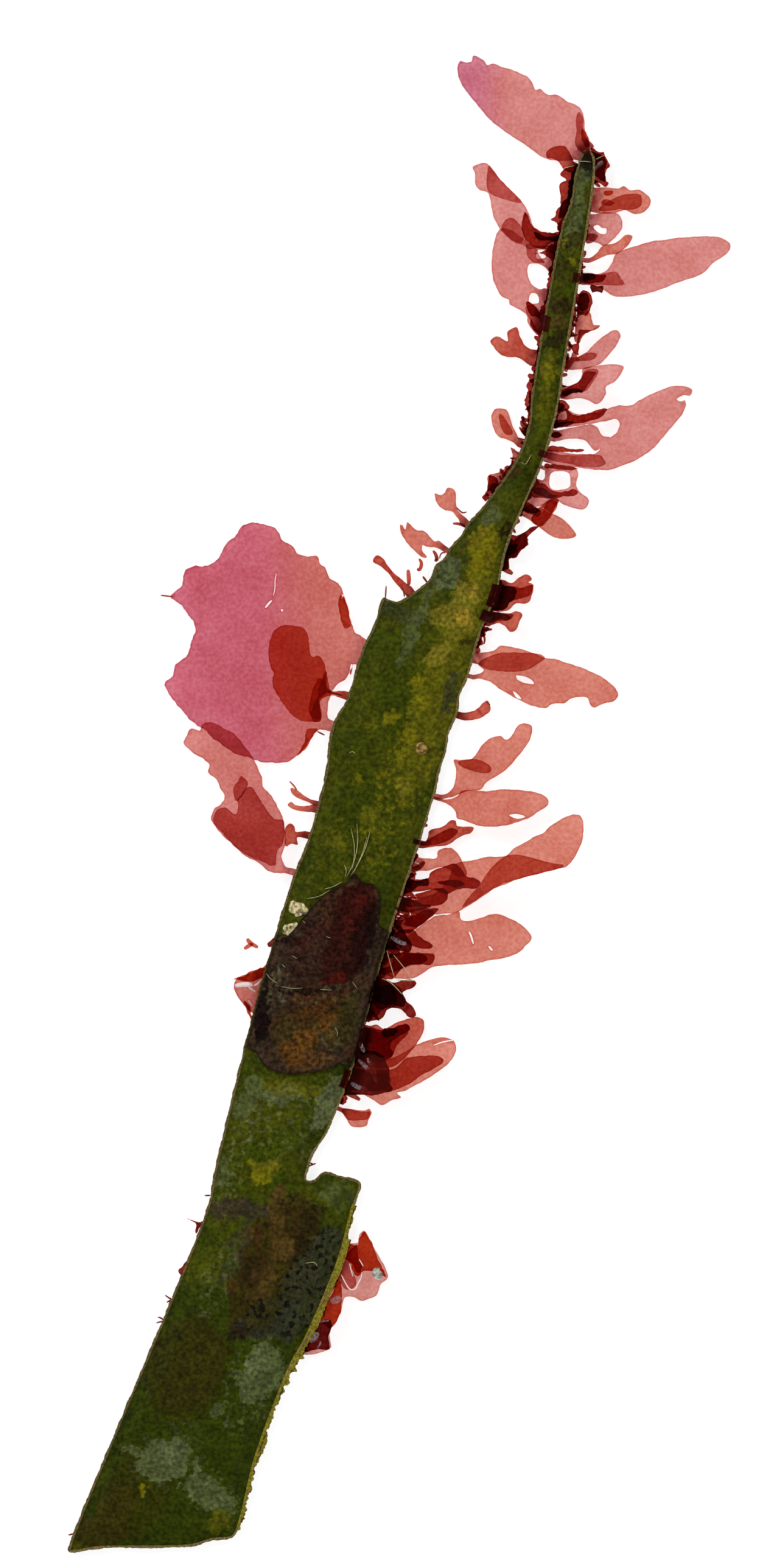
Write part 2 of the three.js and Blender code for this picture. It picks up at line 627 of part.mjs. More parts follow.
        [5.9, -3.57], [6.7, -3.55], [7.4, -3.4], [7.8, -3], [8.7, -2.5], [9.1, -2.22], [9.8, -1.9],
        [10.3, -1.45], [10.9, -1.05],
      ],
    }, {
      layer: 2.5,
      fold: 1,
      outline: [
        [11.2, -4.15], [10.1, -3.92], [9.2, -3.65], [8.2, -3.45], [7.3, -3.48], [6.7, -3.85],
        [6.1, -4.5], [5.7, -5.1], [5, -5.95], [4.25, -7], [5.3, -6.42], [6.2, -5.82], [7.2, -5.32],
        [8.4, -4.97], [9.5, -4.67], [10.4, -4.37],
      ],
    }],
  },
  right_frond_22: {
    colour: 'dark',
    clearOf: ['right_frond_19'],
    blades: [{
      outline: [
        [-0.2, -6.6], [0.9, -6.2], [1.8, -5.9], [2.6, -5.75], [3.2, -5.85], [3.3, -6.3], [3, -6.75],
        [2.3, -6.95], [1.2, -6.9], [0.2, -6.9],
      ],
    }],
    tufts: [{ from: [-0.15, -6.95], to: [0.3, -5.5], count: 6, length: [0.7, 1.3], seed: 37 }],
  },
  right_frond_23: {
    colour: 'dark',
    clearOf: ['right_frond_22'],
    blades: [{
      outline: [
        [-0.6, -7.6], [0.7, -7.25], [1.6, -7.02], [2.3, -7], [2.7, -7.1], [2.3, -7.6], [1.6, -8.1],
        [1, -8.4], [0.2, -8.1], [-0.6, -7.9],
      ],
    }, {
      outline: [
        [-0.7, -8.8], [0.2, -8.5], [0.9, -8.5], [1.3, -8.98], [2.1, -9.45], [2.28, -9.65],
        [2.05, -9.85], [1.2, -9.8], [0.5, -9.5], [-0.8, -9.3],
      ],
    }],
    tufts: [{ from: [-0.9, -9.6], to: [-0.4, -7.7], count: 8, length: [0.7, 1.3], seed: 41 }],
  },
  right_frond_24: {
    colour: 'red',
    blades: [{
      layer: 1,
      outline: [
        [4.1, -7.3], [4.15, -7.7], [4.4, -7.93], [5.3, -7.8], [6.2, -7.47], [6.7, -7.45],
        [7.5, -7.75], [8.2, -8.1], [8.75, -8.6], [9.02, -9.1], [8.7, -9.55], [8.2, -10.05],
        [7.2, -10.45], [6.3, -10.57], [5.4, -10.8], [4.1, -11], [2.8, -11.12], [2.1, -11.15],
        [1.5, -11.6], [0.7, -11.9], [-0.3, -11.85], [-1, -11.6], [-1.8, -11.4], [-1.6, -10.4],
        [-0.8, -9.9], [0.2, -9.3], [1, -8.6], [1.7, -8.05], [2.5, -7.6], [3.3, -7.5],
      ],
    }],
  },
  right_frond_25: {
    colour: 'dark',
    clearOf: ['right_frond_23'],
    blades: [{
      outline: [
        [-1.2, -10.3], [0.4, -10.1], [1.2, -10.2], [2, -10.15], [2.4, -10.25], [2.15, -10.95],
        [1.2, -10.9], [0.4, -11.1], [-0.6, -11.5], [-1.7, -11.6],
      ],
    }],
  },
  right_frond_26: {
    colour: 'dark',
    blades: [{
      outline: [
        [-1.8, -11.85], [-1.1, -11.85], [-0.5, -12.15], [0.1, -12.05], [0.95, -11.97], [1.15, -12.2],
        [0.9, -12.5], [0.2, -12.85], [0.5, -13.4], [1, -13.95], [1.15, -14.45], [0.75, -14.55],
        [0.42, -14.25], [0.1, -13.97], [-0.4, -13.87], [-0.9, -14.05], [-1.15, -14.6],
        [-1.7, -14.75], [-2.6, -14.7], [-2.1, -13.2],
      ],
    }, {
      fold: 1,
      outline: [
        [-1.5, -12.2], [-0.8, -12.1], [-0.1, -12.8], [0.4, -13.3], [0.3, -13.8], [-0.6, -13.7],
        [-1.2, -14], [-1.8, -13.6],
      ],
    }],
  },
  right_frond_27: {
    colour: 'red',
    blades: [{
      outline: [
        [-2.9, -15.2], [-1.9, -15.08], [-1.5, -15], [-1.1, -15.3], [-0.6, -15.1], [-0.2, -14.85],
        [0.5, -14.65], [1.2, -14.52], [1.65, -14.75], [1.68, -15.3], [1.4, -16], [0.9, -16.75],
        [0.3, -17.4], [-0.4, -17.9], [-1.4, -18], [-3.4, -17.6],
      ],
    }, {
      fold: 1,
      outline: [
        [-2.3, -15.4], [-1, -15.5], [0.1, -15], [0.7, -15.1], [0.6, -15.6], [-0.1, -16.4],
        [-0.5, -17.2], [-1.4, -17.6], [-2.7, -17.2],
      ],
    }],
  },
  right_frond_28: {
    colour: 'red',
    blades: [{
      layer: 2,
      outline: [
        [-3.4, -17.4], [-2.2, -17], [-0.6, -17.3], [0.5, -16.8], [1.25, -16.35], [2.2, -16.1],
        [3, -15.83], [3.75, -16.1], [3.87, -16.75], [3.4, -17.6], [2.7, -18.15], [1.6, -18.8],
        [0.6, -19.4], [-0.2, -19.65], [0.15, -19.95], [-0.6, -20.2], [-1.2, -20.48], [-1.8, -20.1],
        [-2.4, -19.78], [-3.2, -19.75], [-4.2, -19.9], [-3.7, -18.6],
      ],
    }],
  },
  right_frond_29: {
    colour: 'dark',
    blades: [{
      outline: [
        [-3.6, -18.1], [-2.4, -18.15], [-1, -18.15], [-0.3, -18], [0.4, -17.35], [1.6, -17.15],
        [2.3, -17.12], [3, -17.45], [2.4, -18], [1.5, -18.5], [0.6, -19.1], [-0.4, -19.5],
        [-1.6, -19.6], [-3, -19.5], [-4.2, -19.7],
      ],
    }, {
      fold: 1,
      outline: [
        [-3.3, -18.3], [-2, -18.3], [-0.8, -18.4], [-0.6, -18.9], [-0.9, -19.4], [-2, -19.4],
        [-3.6, -19.4],
      ],
    }],
  },
  right_frond_30: {
    colour: 'red',
    blades: [{
      outline: [
        [-4.6, -20.5], [-3.9, -20.72], [-3.1, -20.8], [-2.4, -20.9], [-2.05, -20.78],
        [-1.88, -21.05], [-2.1, -21.5], [-2.25, -21.95], [-2.8, -22.07], [-3.35, -21.95],
        [-3.75, -21.2], [-4.2, -20.9], [-4.8, -20.9],
      ],
    }, {
      fold: 1,
      outline: [
        [-3.9, -20.8], [-3.1, -20.88], [-2.4, -20.98], [-2, -20.95], [-2.1, -21.45], [-2.8, -21.58],
        [-3.55, -21.5],
      ],
    }],
  },
  folded_blade: {
    colour: 'glossy',
    blades: [{
      outline: [
        [-3.4, -30], [-2.85, -29.9], [-2.75, -29.4], [-2.4, -29.1], [-2.1, -29.6], [-1.5, -31],
        [-1.2, -31.6], [-0.8, -32.3], [-1.25, -32.7], [-1.55, -33.5], [-2.2, -33.8], [-2.6, -33.9],
        [-3.1, -33.65], [-3.7, -33.65], [-3.95, -34.5], [-4.3, -35.4], [-4.75, -35.9],
        [-4.75, -36.7], [-4.72, -37.1], [-5.6, -37.35], [-6.4, -37.6], [-7, -37], [-6.2, -35.8],
        [-5.2, -33.5], [-4.4, -31.5], [-3.9, -30.2],
      ],
    }, {
      fold: 1,
      outline: [
        [-3.6, -30.15], [-2.8, -30.05], [-2.65, -29.4], [-2.35, -29.3], [-1.9, -30.2], [-1.2, -31.75],
        [-2, -31.95], [-2.7, -31.95], [-3.2, -31.2], [-3.9, -31.1],
      ],
    }, {
      fold: 1,
      outline: [
        [-4.7, -32.5], [-4, -32.8], [-3.85, -33.7], [-4.1, -34.7], [-4.5, -35.6], [-5.2, -35.3],
        [-5.9, -35.6],
      ],
    }],
  },
};

// Fronds of the left margin, from the tip down
const LEFT_FRONDS = {
  left_frond_01: {
    colour: 'red',
    blades: [{
      layer: 1,
      outline: [
        [5, 43.5], [5.6, 43.78], [6, 43.75], [6.3, 43.4], [6.9, 42.65], [7.7, 41.8], [8.4, 41.15],
        [8.8, 40.5], [9.05, 39.7], [9.5, 39.15], [10.4, 39], [11.3, 38.9], [11.2, 38.1], [10.3, 37.9],
        [9.3, 38], [8.8, 37.95], [8.5, 38.2], [7.8, 38.4], [7.1, 39], [6.85, 39.3], [6.4, 40.2],
        [6.05, 41.75], [5.5, 41.95], [5.2, 42.3], [5.15, 43.1],
      ],
    }, {
      layer: 1,
      fold: 1,
      outline: [
        [6.1, 43.6], [6.9, 42.6], [7.7, 41.75], [8.35, 41.1], [7.6, 41.3], [6.8, 41.5], [6.15, 41.7],
        [5.95, 42.3], [5.95, 43],
      ],
    }, {
      layer: 1,
      fold: 1,
      outline: [
        [6.95, 39.35], [7.1, 39.8], [7.6, 40.05], [7.95, 39.85], [8.4, 39.3], [8.5, 38.6], [8.35, 38.3],
        [7.6, 38.6], [7.2, 39],
      ],
    }],
  },
  left_frond_02: {
    colour: 'red',
    blades: [{
      outline: [
        [6.85, 39.3], [6.6, 38.5], [6.3, 37.3], [6.35, 36.3], [6.55, 35.5], [7.05, 34.7],
        [7.5, 34.5], [7.55, 34.2], [8.2, 33.85], [8.7, 33.4], [8.8, 32.9], [9.4, 32.3], [9.9, 31.8],
        [10.3, 32], [10.6, 33.2], [10.7, 35], [11, 36.8], [11.2, 38], [10.4, 38.2], [9.2, 38.2],
        [8.5, 38.7], [7.7, 39.2],
      ],
      holes: [[
        [8.85, 36.9], [9.4, 36.95], [10, 36.7], [10.25, 36.1], [10.1, 35.5], [9.6, 35.2],
        [9.1, 35.5], [8.8, 36.1],
      ], [
        [9.4, 37.35], [9.4, 37.85], [9.95, 37.9], [10, 37.4],
      ], [
        [8.85, 34.35], [9, 34.95], [9.4, 34.9], [9.5, 34.3],
      ]],
    }, {
      fold: 1,
      outline: [
        [8.6, 34], [9.2, 34.15], [9.8, 33.2], [10.3, 32.6], [9.9, 32.2], [9.2, 32.7], [8.8, 33.3],
      ],
    }],
  },
  left_frond_03: {
    colour: 'red',
    blades: [{
      outline: [
        [6.2, 31.7], [6.6, 31.95], [7, 31.85], [7.4, 31.65], [7.4, 32.3], [7.65, 32.45], [8, 32.65],
        [8.2, 32.1], [8.5, 31.5], [9, 31.1], [9.8, 31.2], [9.8, 30.6], [9.4, 30], [8.95, 30],
        [8.5, 30.35], [8.1, 30.57], [7.4, 30.62], [6.9, 30.8], [6.45, 31.3],
      ],
    }],
  },
  left_tuft_01: {
    colour: 'dark',
    tufts: [{ from: [9.15, 29.1], to: [8.85, 27.1], count: 5, length: [0.3, 0.5], seed: 52 }],
  },
  left_frond_04: {
    colour: 'red',
    blades: [{
      outline: [
        [6.3, 26.6], [6.5, 27], [7, 27.1], [7.3, 27], [7.6, 26.2], [7.9, 25.5], [8.3, 24.9],
        [8.8, 24.9], [8.5, 24.2], [8.1, 24.5], [7.7, 24.8], [7.2, 25], [6.85, 25.05], [6.45, 25.7],
        [6.3, 26.2],
      ],
    }, {
      fold: 1,
      outline: [
        [6.85, 26.7], [7.1, 26.55], [7.4, 26], [7.75, 25.3], [7.3, 25.25], [6.9, 25.9],
      ],
    }],
  },
  left_tuft_02: {
    colour: 'dark',
    tufts: [{ from: [8.1, 23.9], to: [6.75, 22], count: 8, length: [0.6, 1.1], layer: 1, seed: 57 },
      { from: [6.85, 22.15], to: [5.95, 20.95], count: 5, length: [0.3, 0.7], layer: 1, seed: 58 }],
  },
  left_frond_05: {
    colour: 'red',
    blades: [{
      outline: [
        [4.85, 19.1], [4.35, 19.75], [4.02, 20.1], [3.9, 20.6], [3.85, 21.35], [3.65, 21.6],
        [3.3, 21.68], [3.12, 21.32], [2.8, 21.12], [2.42, 21.32], [2.5, 20.8], [2.8, 20.35],
        [3.15, 20.12], [3.6, 20.05], [4, 19.6], [4.4, 18.9],
      ],
    }],
  },
  left_frond_06: {
    colour: 'red',
    blades: [{
      outline: [
        [0.05, 19.15], [0.25, 19.1], [0.4, 18.8], [0.55, 19.35], [0.85, 19.05], [1.15, 18.78],
        [1.7, 18.7], [2.1, 18.35], [2.4, 18], [2.65, 18.08], [3.1, 17.7], [3.8, 17.5], [3.5, 16.9],
        [3, 17.35], [2.4, 17.6], [1.85, 17.65], [1.6, 17.75], [1.55, 17.4], [1.9, 16.9],
        [1.6, 16.85], [1.15, 17.2], [0.75, 17.7], [0.3, 18.2], [0.08, 18.7],
      ],
    }],
  },
  left_frond_07: {
    colour: 'dark',
    blades: [{
      outline: [
        [-1.8, 16.65], [-1.6, 17.02], [-1.3, 16.95], [-0.85, 16.45], [-0.3, 15.75], [0.3, 15.25],
        [0.75, 14.85], [1.2, 14.4], [0.8, 14.1], [0.3, 14.6], [-0.2, 15.05], [-0.7, 15.75],
        [-1.2, 16.25],
      ],
    }],
  },
  big_left_blade: {
    colour: 'magenta',
    blades: [{
      outline: [
        [-4.2, 5.4], [-4.85, 5.9], [-4.85, 6.6], [-4.6, 7.5], [-4.4, 8.1], [-3.6, 8.6], [-3.35, 9.3],
        [-2.85, 10.2], [-2.4, 11.1], [-3.1, 11.9], [-3.4, 12.8], [-3.75, 14.2], [-4.1, 15],
        [-4.75, 15.48], [-5.05, 16.1], [-5.4, 16.45], [-5.65, 17], [-6.3, 16.97], [-7, 17.2],
        [-7.3, 17.65], [-7.9, 18], [-8.5, 18.85], [-9.3, 19.15], [-10, 19.28], [-10.8, 18.95],
        [-11.2, 18.3], [-11.8, 17.9], [-12.15, 17.1], [-12.9, 16.4], [-13.6, 16.28], [-14.5, 16.1],
        [-14.75, 15.6], [-14.9, 14.9], [-15.65, 14.2], [-14.8, 13.5], [-14.2, 12.7], [-13.95, 12.1],
        [-14.2, 11.2], [-14.6, 10.1], [-15.4, 9.5], [-15.45, 8.8], [-16, 8.25], [-15.6, 7.4],
        [-14.9, 6.45], [-14.2, 5.75], [-13.4, 5.15], [-12.6, 4.4], [-11.4, 3.6], [-10, 3.07],
        [-8.8, 2.88], [-7.6, 2.97], [-6.8, 3.45], [-6.1, 4.4], [-5.5, 5.05], [-4.4, 5],
      ],
    }],
  },
  small_left_blade: {
    colour: 'dark',
    blades: [{
      layer: 1,
      outline: [
        [-3.4, 7.75], [-4.6, 7.75], [-4.95, 8], [-5, 9], [-5.15, 9.7], [-5.55, 10.2], [-5.95, 10.1],
        [-6.15, 10.9], [-6.3, 11.7], [-6.6, 12.1], [-7.2, 12.25], [-8, 12.22], [-8.6, 11.8],
        [-8.87, 11], [-8.8, 9.3], [-8.6, 9], [-8.65, 8.2], [-8.1, 7.1], [-7.4, 6.2], [-6.8, 5.75],
        [-6.1, 5.65], [-5.4, 5.7], [-5.3, 6.2], [-5.4, 7.1], [-4.7, 7.45], [-3.4, 7.2],
      ],
    }, {
      layer: 1,
      fold: 1,
      outline: [
        [-5.45, 5.85], [-5.4, 6.6], [-5.45, 7.2], [-5, 7.5], [-5.05, 8.3], [-5.4, 8.6], [-5.85, 8],
        [-5.95, 7], [-6.1, 6.1],
      ],
    }],
  },
  lower_left_blade: {
    colour: 'red',
    blades: [{
      layer: 1,
      outline: [
        [-14.2, 5.2], [-14.6, 4.6], [-14.75, 4.25], [-14.2, 3.6], [-13.4, 3.1], [-13, 2.7],
        [-13.05, 2.25], [-12.4, 1.7], [-12.2, 1.1], [-11.9, 0.6], [-12.1, 0.1], [-12.6, -0.3],
        [-12.8, -1.1], [-12.2, -1.8], [-11.5, -2.6], [-10.6, -3.4], [-9.7, -3.85], [-8.8, -4.55],
        [-7.8, -4.7], [-6.6, -4.7], [-6.7, -4.3], [-7.7, -4.3], [-8.05, -3.6], [-7.85, -3],
        [-7.85, -1.5], [-8.2, -0.3], [-8.8, 0.7], [-9.3, 1.15], [-9.4, 1.9], [-9.9, 3],
        [-10.5, 3.9], [-11.2, 4.7], [-12, 5.25], [-12.9, 5.65], [-13.5, 5.5], [-13.6, 5.05],
      ],
    }, {
      layer: 1,
      fold: 1,
      outline: [
        [-10.75, 1.95], [-10.3, 1.45], [-9.85, 0.9], [-9.4, 0.15], [-8.9, -0.6], [-8.5, -1],
        [-7.95, -1.1], [-7.95, -2.6], [-8.35, -3.3], [-8.45, -4.15], [-9.6, -3.78], [-10.6, -3.3],
        [-11.5, -2.5], [-12.15, -1.75], [-12.7, -1.05], [-12.4, -0.35], [-11.9, -0.2],
        [-11.2, -0.6], [-11.05, 0.1], [-11.35, 1], [-11, 1.7],
      ],
    }],
  },
  lower_left_tuft: {
    colour: 'red',
    blades: [{
      outline: [
        [-7.75, -1.6], [-7.4, -1.3], [-7.15, -1.5], [-7.1, -1.85], [-5.8, -1.75], [-5.9, -2.2],
        [-7, -2.25], [-6.95, -2.75], [-7.4, -2.7], [-7.75, -2.85],
      ],
    }],
  },
  left_shred_01: {
    colour: 'red',
    blades: [{
      outline: [
        [-7.4, 1.1], [-7.05, 1.05], [-6.5, 0.65], [-5.9, 0.35], [-5.1, 0.2], [-5.3, -0.1],
        [-6.2, 0.1], [-6.9, 0.5], [-7.3, 0.75],
      ],
    }],
  },
  left_shred_02: {
    colour: 'red',
    blades: [{
      layer: 1,
      outline: [
        [-7.65, 0], [-7.4, 0.25], [-7.1, 0], [-6.6, -0.08], [-5.2, 0.05], [-5.4, -0.5],
        [-6.6, -0.4], [-7.3, -0.32],
      ],
    }],
  },
  left_glossy_blade: {
    colour: 'glossy',
    blades: [{
      outline: [
        [-8.4, -10.1], [-8.9, -10.6], [-9.3, -11], [-10, -11.45], [-11, -11.8], [-11.33, -12.3],
        [-11.2, -12.85], [-10.7, -13.5], [-10.3, -14.1], [-9.95, -14.9], [-9.5, -15.2],
        [-9.2, -13], [-8.7, -11.3],
      ],
    }, {
      fold: 1,
      outline: [
        [-8.6, -10.4], [-9.2, -11.05], [-10, -11.55], [-10.95, -11.88], [-10.2, -12.05],
        [-9, -12.1], [-8.6, -11.2],
      ],
    }],
  },
  left_tuft_03: {
    colour: 'dark',
    tufts: [{ from: [-13.75, -28.9], to: [-13.15, -27.1], count: 5, length: [0.35, 0.9], side: -1, seed: 61 }],
  },
  left_tuft_04: {
    colour: 'dark',
    tufts: [{ from: [-14.85, -32.3], to: [-14.4, -31.1], count: 4, length: [0.3, 0.6], side: -1, seed: 67 }],
  },
};

// The large blade that lies over the middle of the kelp
const CROSSING_POINTS = [
  [-3.1, -4.7], [-2.5, -5.3], [-1.7, -5.45], [-1.35, -6.2], [-1.3, -7.4], [-1.4, -8.4], [-1.1, -8.75],
  [-1.2, -9.6], [-1.6, -11], [-2, -12.6], [-2.4, -14], [-2.85, -15.4], [-3.15, -16.7],
  [-3.6, -17.35], [-4.6, -17.95], [-6.2, -18.3], [-7.8, -18.35], [-8.8, -18.05], [-9.5, -17.4],
  [-9.85, -16.6], [-9.7, -15], [-9.3, -12.9], [-8.8, -11], [-8.4, -9.7], [-7.8, -9.2],
  [-7.1, -8.4], [-6.2, -7.3], [-5.3, -6.3], [-4.3, -5.7], [-3.6, -5.3],
];

const group = new THREE.Group();

function addNode(name, solid, colour, roughness) {
  const mesh = solid.getMesh();
  const geometry = new THREE.BufferGeometry();
  geometry.setAttribute('position', new THREE.BufferAttribute(mesh.vertProperties, 3));
  geometry.setIndex(new THREE.BufferAttribute(mesh.triVerts, 1));
  geometry.computeVertexNormals();
  const material = new THREE.MeshStandardMaterial({ color: COLOURS[colour], roughness, metalness: 0 });
  const node = new THREE.Mesh(geometry, material);
  node.name = name;
  group.add(node);
}

// The largest body is kept, and scraps that the trimming leaves are dropped
function largestBody(solid) {
  const bodies = solid.decompose();
  return bodies.reduce((best, body) => (body.volume() > best.volume() ? body : best));
}

const fronds = new Map();

// A frond is joined from its blades, then trimmed by the kelp and by any neighbour it would cross
function addFrond(name, { colour, blades = [], tufts = [], clearOf = [] }) {
  const grown = [...blades.map(blade), ...tufts.map(youngBlades)];
  const whole = grown.reduce((joined, piece) => joined.add(piece)).subtract(kelpCutter);
  const trimmed = clearOf.reduce((left, neighbour) => (
    left.subtract(withRoom(fronds.get(neighbour), NEIGHBOUR_GAP))), whole);
  const solid = largestBody(trimmed);
  fronds.set(name, solid);
  addNode(name, solid, colour, BLADE_ROUGHNESS);
}

function addKelp() {
  const slab = gridSlab(kelpOutline, KELP_CELL, () => 0, kelpTop);
  addNode('kelp_strap', slab.intersect(prism(kelpOutline, [], CUT_BOTTOM, CUT_TOP)), 'kelp', KELP_ROUGHNESS);
}

function addCrossingBlade() {
  const edge = smoothOutline(CROSSING_POINTS);
  const low = (x, y) => kelpTop(x, y) + REST_GAP;
  const high = (x, y) => low(x, y) + BLADE_THICKNESS;
  const slab = gridSlab(edge, KELP_CELL, low, high);
  addNode('crossing_blade', slab.intersect(prism(edge, [], CUT_BOTTOM, CUT_TOP)), 'brown', BLADE_ROUGHNESS);
}

addKelp();
addCrossingBlade();
for (const side of [TIP_FRONDS, RIGHT_FRONDS, LEFT_FRONDS]) {
  Object.entries(side).forEach(([name, frond]) => addFrond(name, frond));
}

// The origin is under the middle of the specimen, on the surface it lies on
const bounds = new THREE.Box3().setFromObject(group);
const centre = bounds.getCenter(new THREE.Vector3());
group.position.set(-centre.x, -centre.y, -bounds.min.z);

export default group;
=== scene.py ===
"""Pyropia gardneri: thin red blades on a strap of kelp, laid on a white surface and seen from above."""
import math
import random

import bmesh
import bpy
import numpy as np
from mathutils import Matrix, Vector, noise
from mathutils.geometry import delaunay_2d_cdt


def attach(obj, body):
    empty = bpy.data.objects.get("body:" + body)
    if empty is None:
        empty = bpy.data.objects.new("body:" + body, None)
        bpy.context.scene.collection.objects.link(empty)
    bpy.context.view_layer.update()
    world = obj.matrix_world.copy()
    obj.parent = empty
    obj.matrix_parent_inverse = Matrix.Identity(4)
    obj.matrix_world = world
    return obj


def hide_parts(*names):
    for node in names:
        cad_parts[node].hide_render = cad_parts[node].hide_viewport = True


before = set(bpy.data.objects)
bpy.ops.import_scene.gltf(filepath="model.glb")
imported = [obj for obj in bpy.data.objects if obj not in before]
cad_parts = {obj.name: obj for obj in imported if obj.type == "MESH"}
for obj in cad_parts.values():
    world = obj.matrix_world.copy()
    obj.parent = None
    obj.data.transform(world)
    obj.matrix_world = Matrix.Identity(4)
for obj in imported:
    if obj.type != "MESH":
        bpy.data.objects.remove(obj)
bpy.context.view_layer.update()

# Lengths are in millimetres; a mesh is turned to metres when it is made
MM = 0.001
SHIFT = np.array([-0.025, -0.065])
SAME_POINT = 1e-6

# Sheets, nearly as thin as the real tissue
SHEET_THICKNESS = 0.1
YOUNG_THICKNESS = 0.07
STRAND_THICKNESS = 0.06
CROSSING_THICKNESS = 0.15
CAD_THICKNESS = 0.6
REST = 0.08
LEAST_HEIGHT = 0.03

# How far apart the places on an outline and the corners within it are
RING_STEP = 0.14
SHEET_CELL = 0.4
KELP_STEP = 0.35
KELP_CELL = 0.42
KELP_INSET = 0.3
ROW_SPACING = 0.87
CORNER_SHAKE = 0.12
CORNER_CLEARANCE = 0.45
BATCH = 2000

# Roots: how near the kelp an outline is drawn in, and how deep
ROOT_REACH = 0.34
ROOT_DEPTH = 0.4

# The kelp's height at its margin and how much higher its middle is
KELP_UNDERSIDE = 0.02
KELP_MARGIN_HEIGHT = 0.5
KELP_CROWN = 0.6
KELP_CROWN_REACH = 1.5

# The waves that the solids of the blades have
FLOOR_GAP = 0.12
WAVE_REACH = 6
WAVE_LIFT = 0.5
WAVE_HEIGHT = 0.42

# Light: what the white surface sends up, and how much of that is its own glow
FLOOR_GLOW = 0.8
FLOOR_ALBEDO = 0.36
FLOOR_RADIANCE = 1.17

# Colours as they look, in 8-bit sRGB
COLOURS = {
    "rose": (212, 129, 122),
    "salmon": (208, 115, 97),
    "magenta": (198, 89, 108),
    "rose_salmon": (202, 107, 96),
    "young_dark": (104, 24, 20),
    "deep_red": (158, 38, 25),
    "young_red": (140, 44, 32),
    "blood": (118, 18, 12),
    "fold_red": (209, 97, 65),
    "gloss_red": (195, 66, 26),
    "root_red": (112, 26, 30),
    "tip_magenta": (197, 104, 126),
    "glossy_pink": (208, 136, 126),
    "deep_green": (50, 59, 4),
    "leaf_green": (64, 68, 6),
    "low_green": (42, 52, 3),
    "low_olive": (46, 46, 3),
    "bright_green": (52, 64, 3),
    "tip_grey": (44, 48, 34),
    "olive_green": (86, 84, 10),
    "yellow": (106, 99, 9),
    "ochre": (119, 108, 30),
    "orange": (146, 122, 36),
    "grey_green": (80, 88, 50),
    "pale_grey_green": (96, 103, 68),
    "sooty": (48, 50, 34),
    "brown": (50, 37, 9),
    "olive_brown": (50, 45, 8),
    "warm_brown": (76, 58, 22),
    "dark_brown": (36, 24, 9),
    "black_brown": (22, 13, 7),
    "purple_grey": (54, 44, 33),
    "cross_brown": (62, 41, 24),
    "cross_grey": (50, 38, 28),
    "cross_olive": (58, 46, 18),
    "cross_orange": (92, 58, 18),
    "cross_red": (46, 12, 8),
    "cross_black": (17, 5, 4),
    "fuzz": (124, 114, 22),
    "tan": (112, 96, 52),
    "crust": (176, 162, 118),
    "speck": (150, 150, 140),
    "thread": (170, 166, 120),
    "bead": (140, 112, 56),
    # Painted highlight: the white of light shining off wet folds
    "painted_highlight_white": (236, 216, 210),
    "sheen": (150, 134, 138),
    "soot": (13, 11, 7),
    "lichen": (104, 110, 74),
    "gold": (108, 100, 13),
    "rust": (84, 50, 22),
}


def linear(colour):
    """Linear colour of a name in COLOURS."""
    shares = np.array(COLOURS[colour]) / 255
    return np.where(shares <= 0.04045, shares / 12.92, ((shares + 0.055) / 1.055) ** 2.4)


def smoothstep(value, low, high):
    part = np.clip((value - low) / (high - low), 0, 1)
    return part * part * (3 - 2 * part)


# Shader nodes
class Shader:
    """A material's node tree, with short calls for the nodes that it needs."""

    def __init__(self, name):
        self.material = bpy.data.materials.new(name)
        self.material.use_nodes = True
        self.tree = self.material.node_tree
        self.tree.nodes.clear()
        texture_place = self.add("ShaderNodeTexCoord").outputs["Object"]
        in_mm = self.vector("MULTIPLY", texture_place, (1 / MM,) * 3)
        self.place = self.vector("SUBTRACT", in_mm, (*SHIFT, 0))

    def add(self, kind, inputs=None, **settings):
        node = self.tree.nodes.new(kind)
        for key, value in settings.items():
            setattr(node, key, value)
        for key, value in (inputs or {}).items():
            self.set(node.inputs[key], value)
        return node

    def set(self, socket, value):
        if isinstance(value, bpy.types.NodeSocket):
            self.tree.links.new(value, socket)
        else:
            socket.default_value = value

    def math(self, operation, *values, clamp=False):
        node = self.add("ShaderNodeMath", dict(enumerate(values)), operation=operation, use_clamp=clamp)
        return node.outputs[0]

    def vector(self, operation, *values):
        node = self.add("ShaderNodeVectorMath", dict(enumerate(values)), operation=operation)
        return node.outputs["Value" if operation == "LENGTH" else "Vector"]

    def mix(self, factor, first, second):
        return self.add("ShaderNodeMix", {0: factor, 6: first, 7: second}, data_type="RGBA").outputs[2]

    def ramp(self, value, low, high, start=0.0, end=1.0):
        inputs = {"Value": value, 1: low, 2: high, 3: start, 4: end}
        return self.add("ShaderNodeMapRange", inputs, interpolation_type="SMOOTHSTEP").outputs[0]

    def noise(self, size, detail=2.0, place=None, output=0):
        """Noise with features of about this size in millimetres."""
        inputs = {"Vector": place or self.place, "Scale": 1 / size, "Detail": detail}
        return self.add("ShaderNodeTexNoise", inputs).outputs[output]

    def attribute(self, name):
        return self.add("ShaderNodeAttribute", attribute_name=name).outputs["Fac"]

    def finish(self, surface):
        self.add("ShaderNodeOutputMaterial", {"Surface": surface})
        return self.material


def rgba(values):
    return (*(float(v) for v in values), 1.0)


# How strongly the tissue's thin and thick places tint the light
THIN_TINT = 0.68
THICK_TINT = 1.3


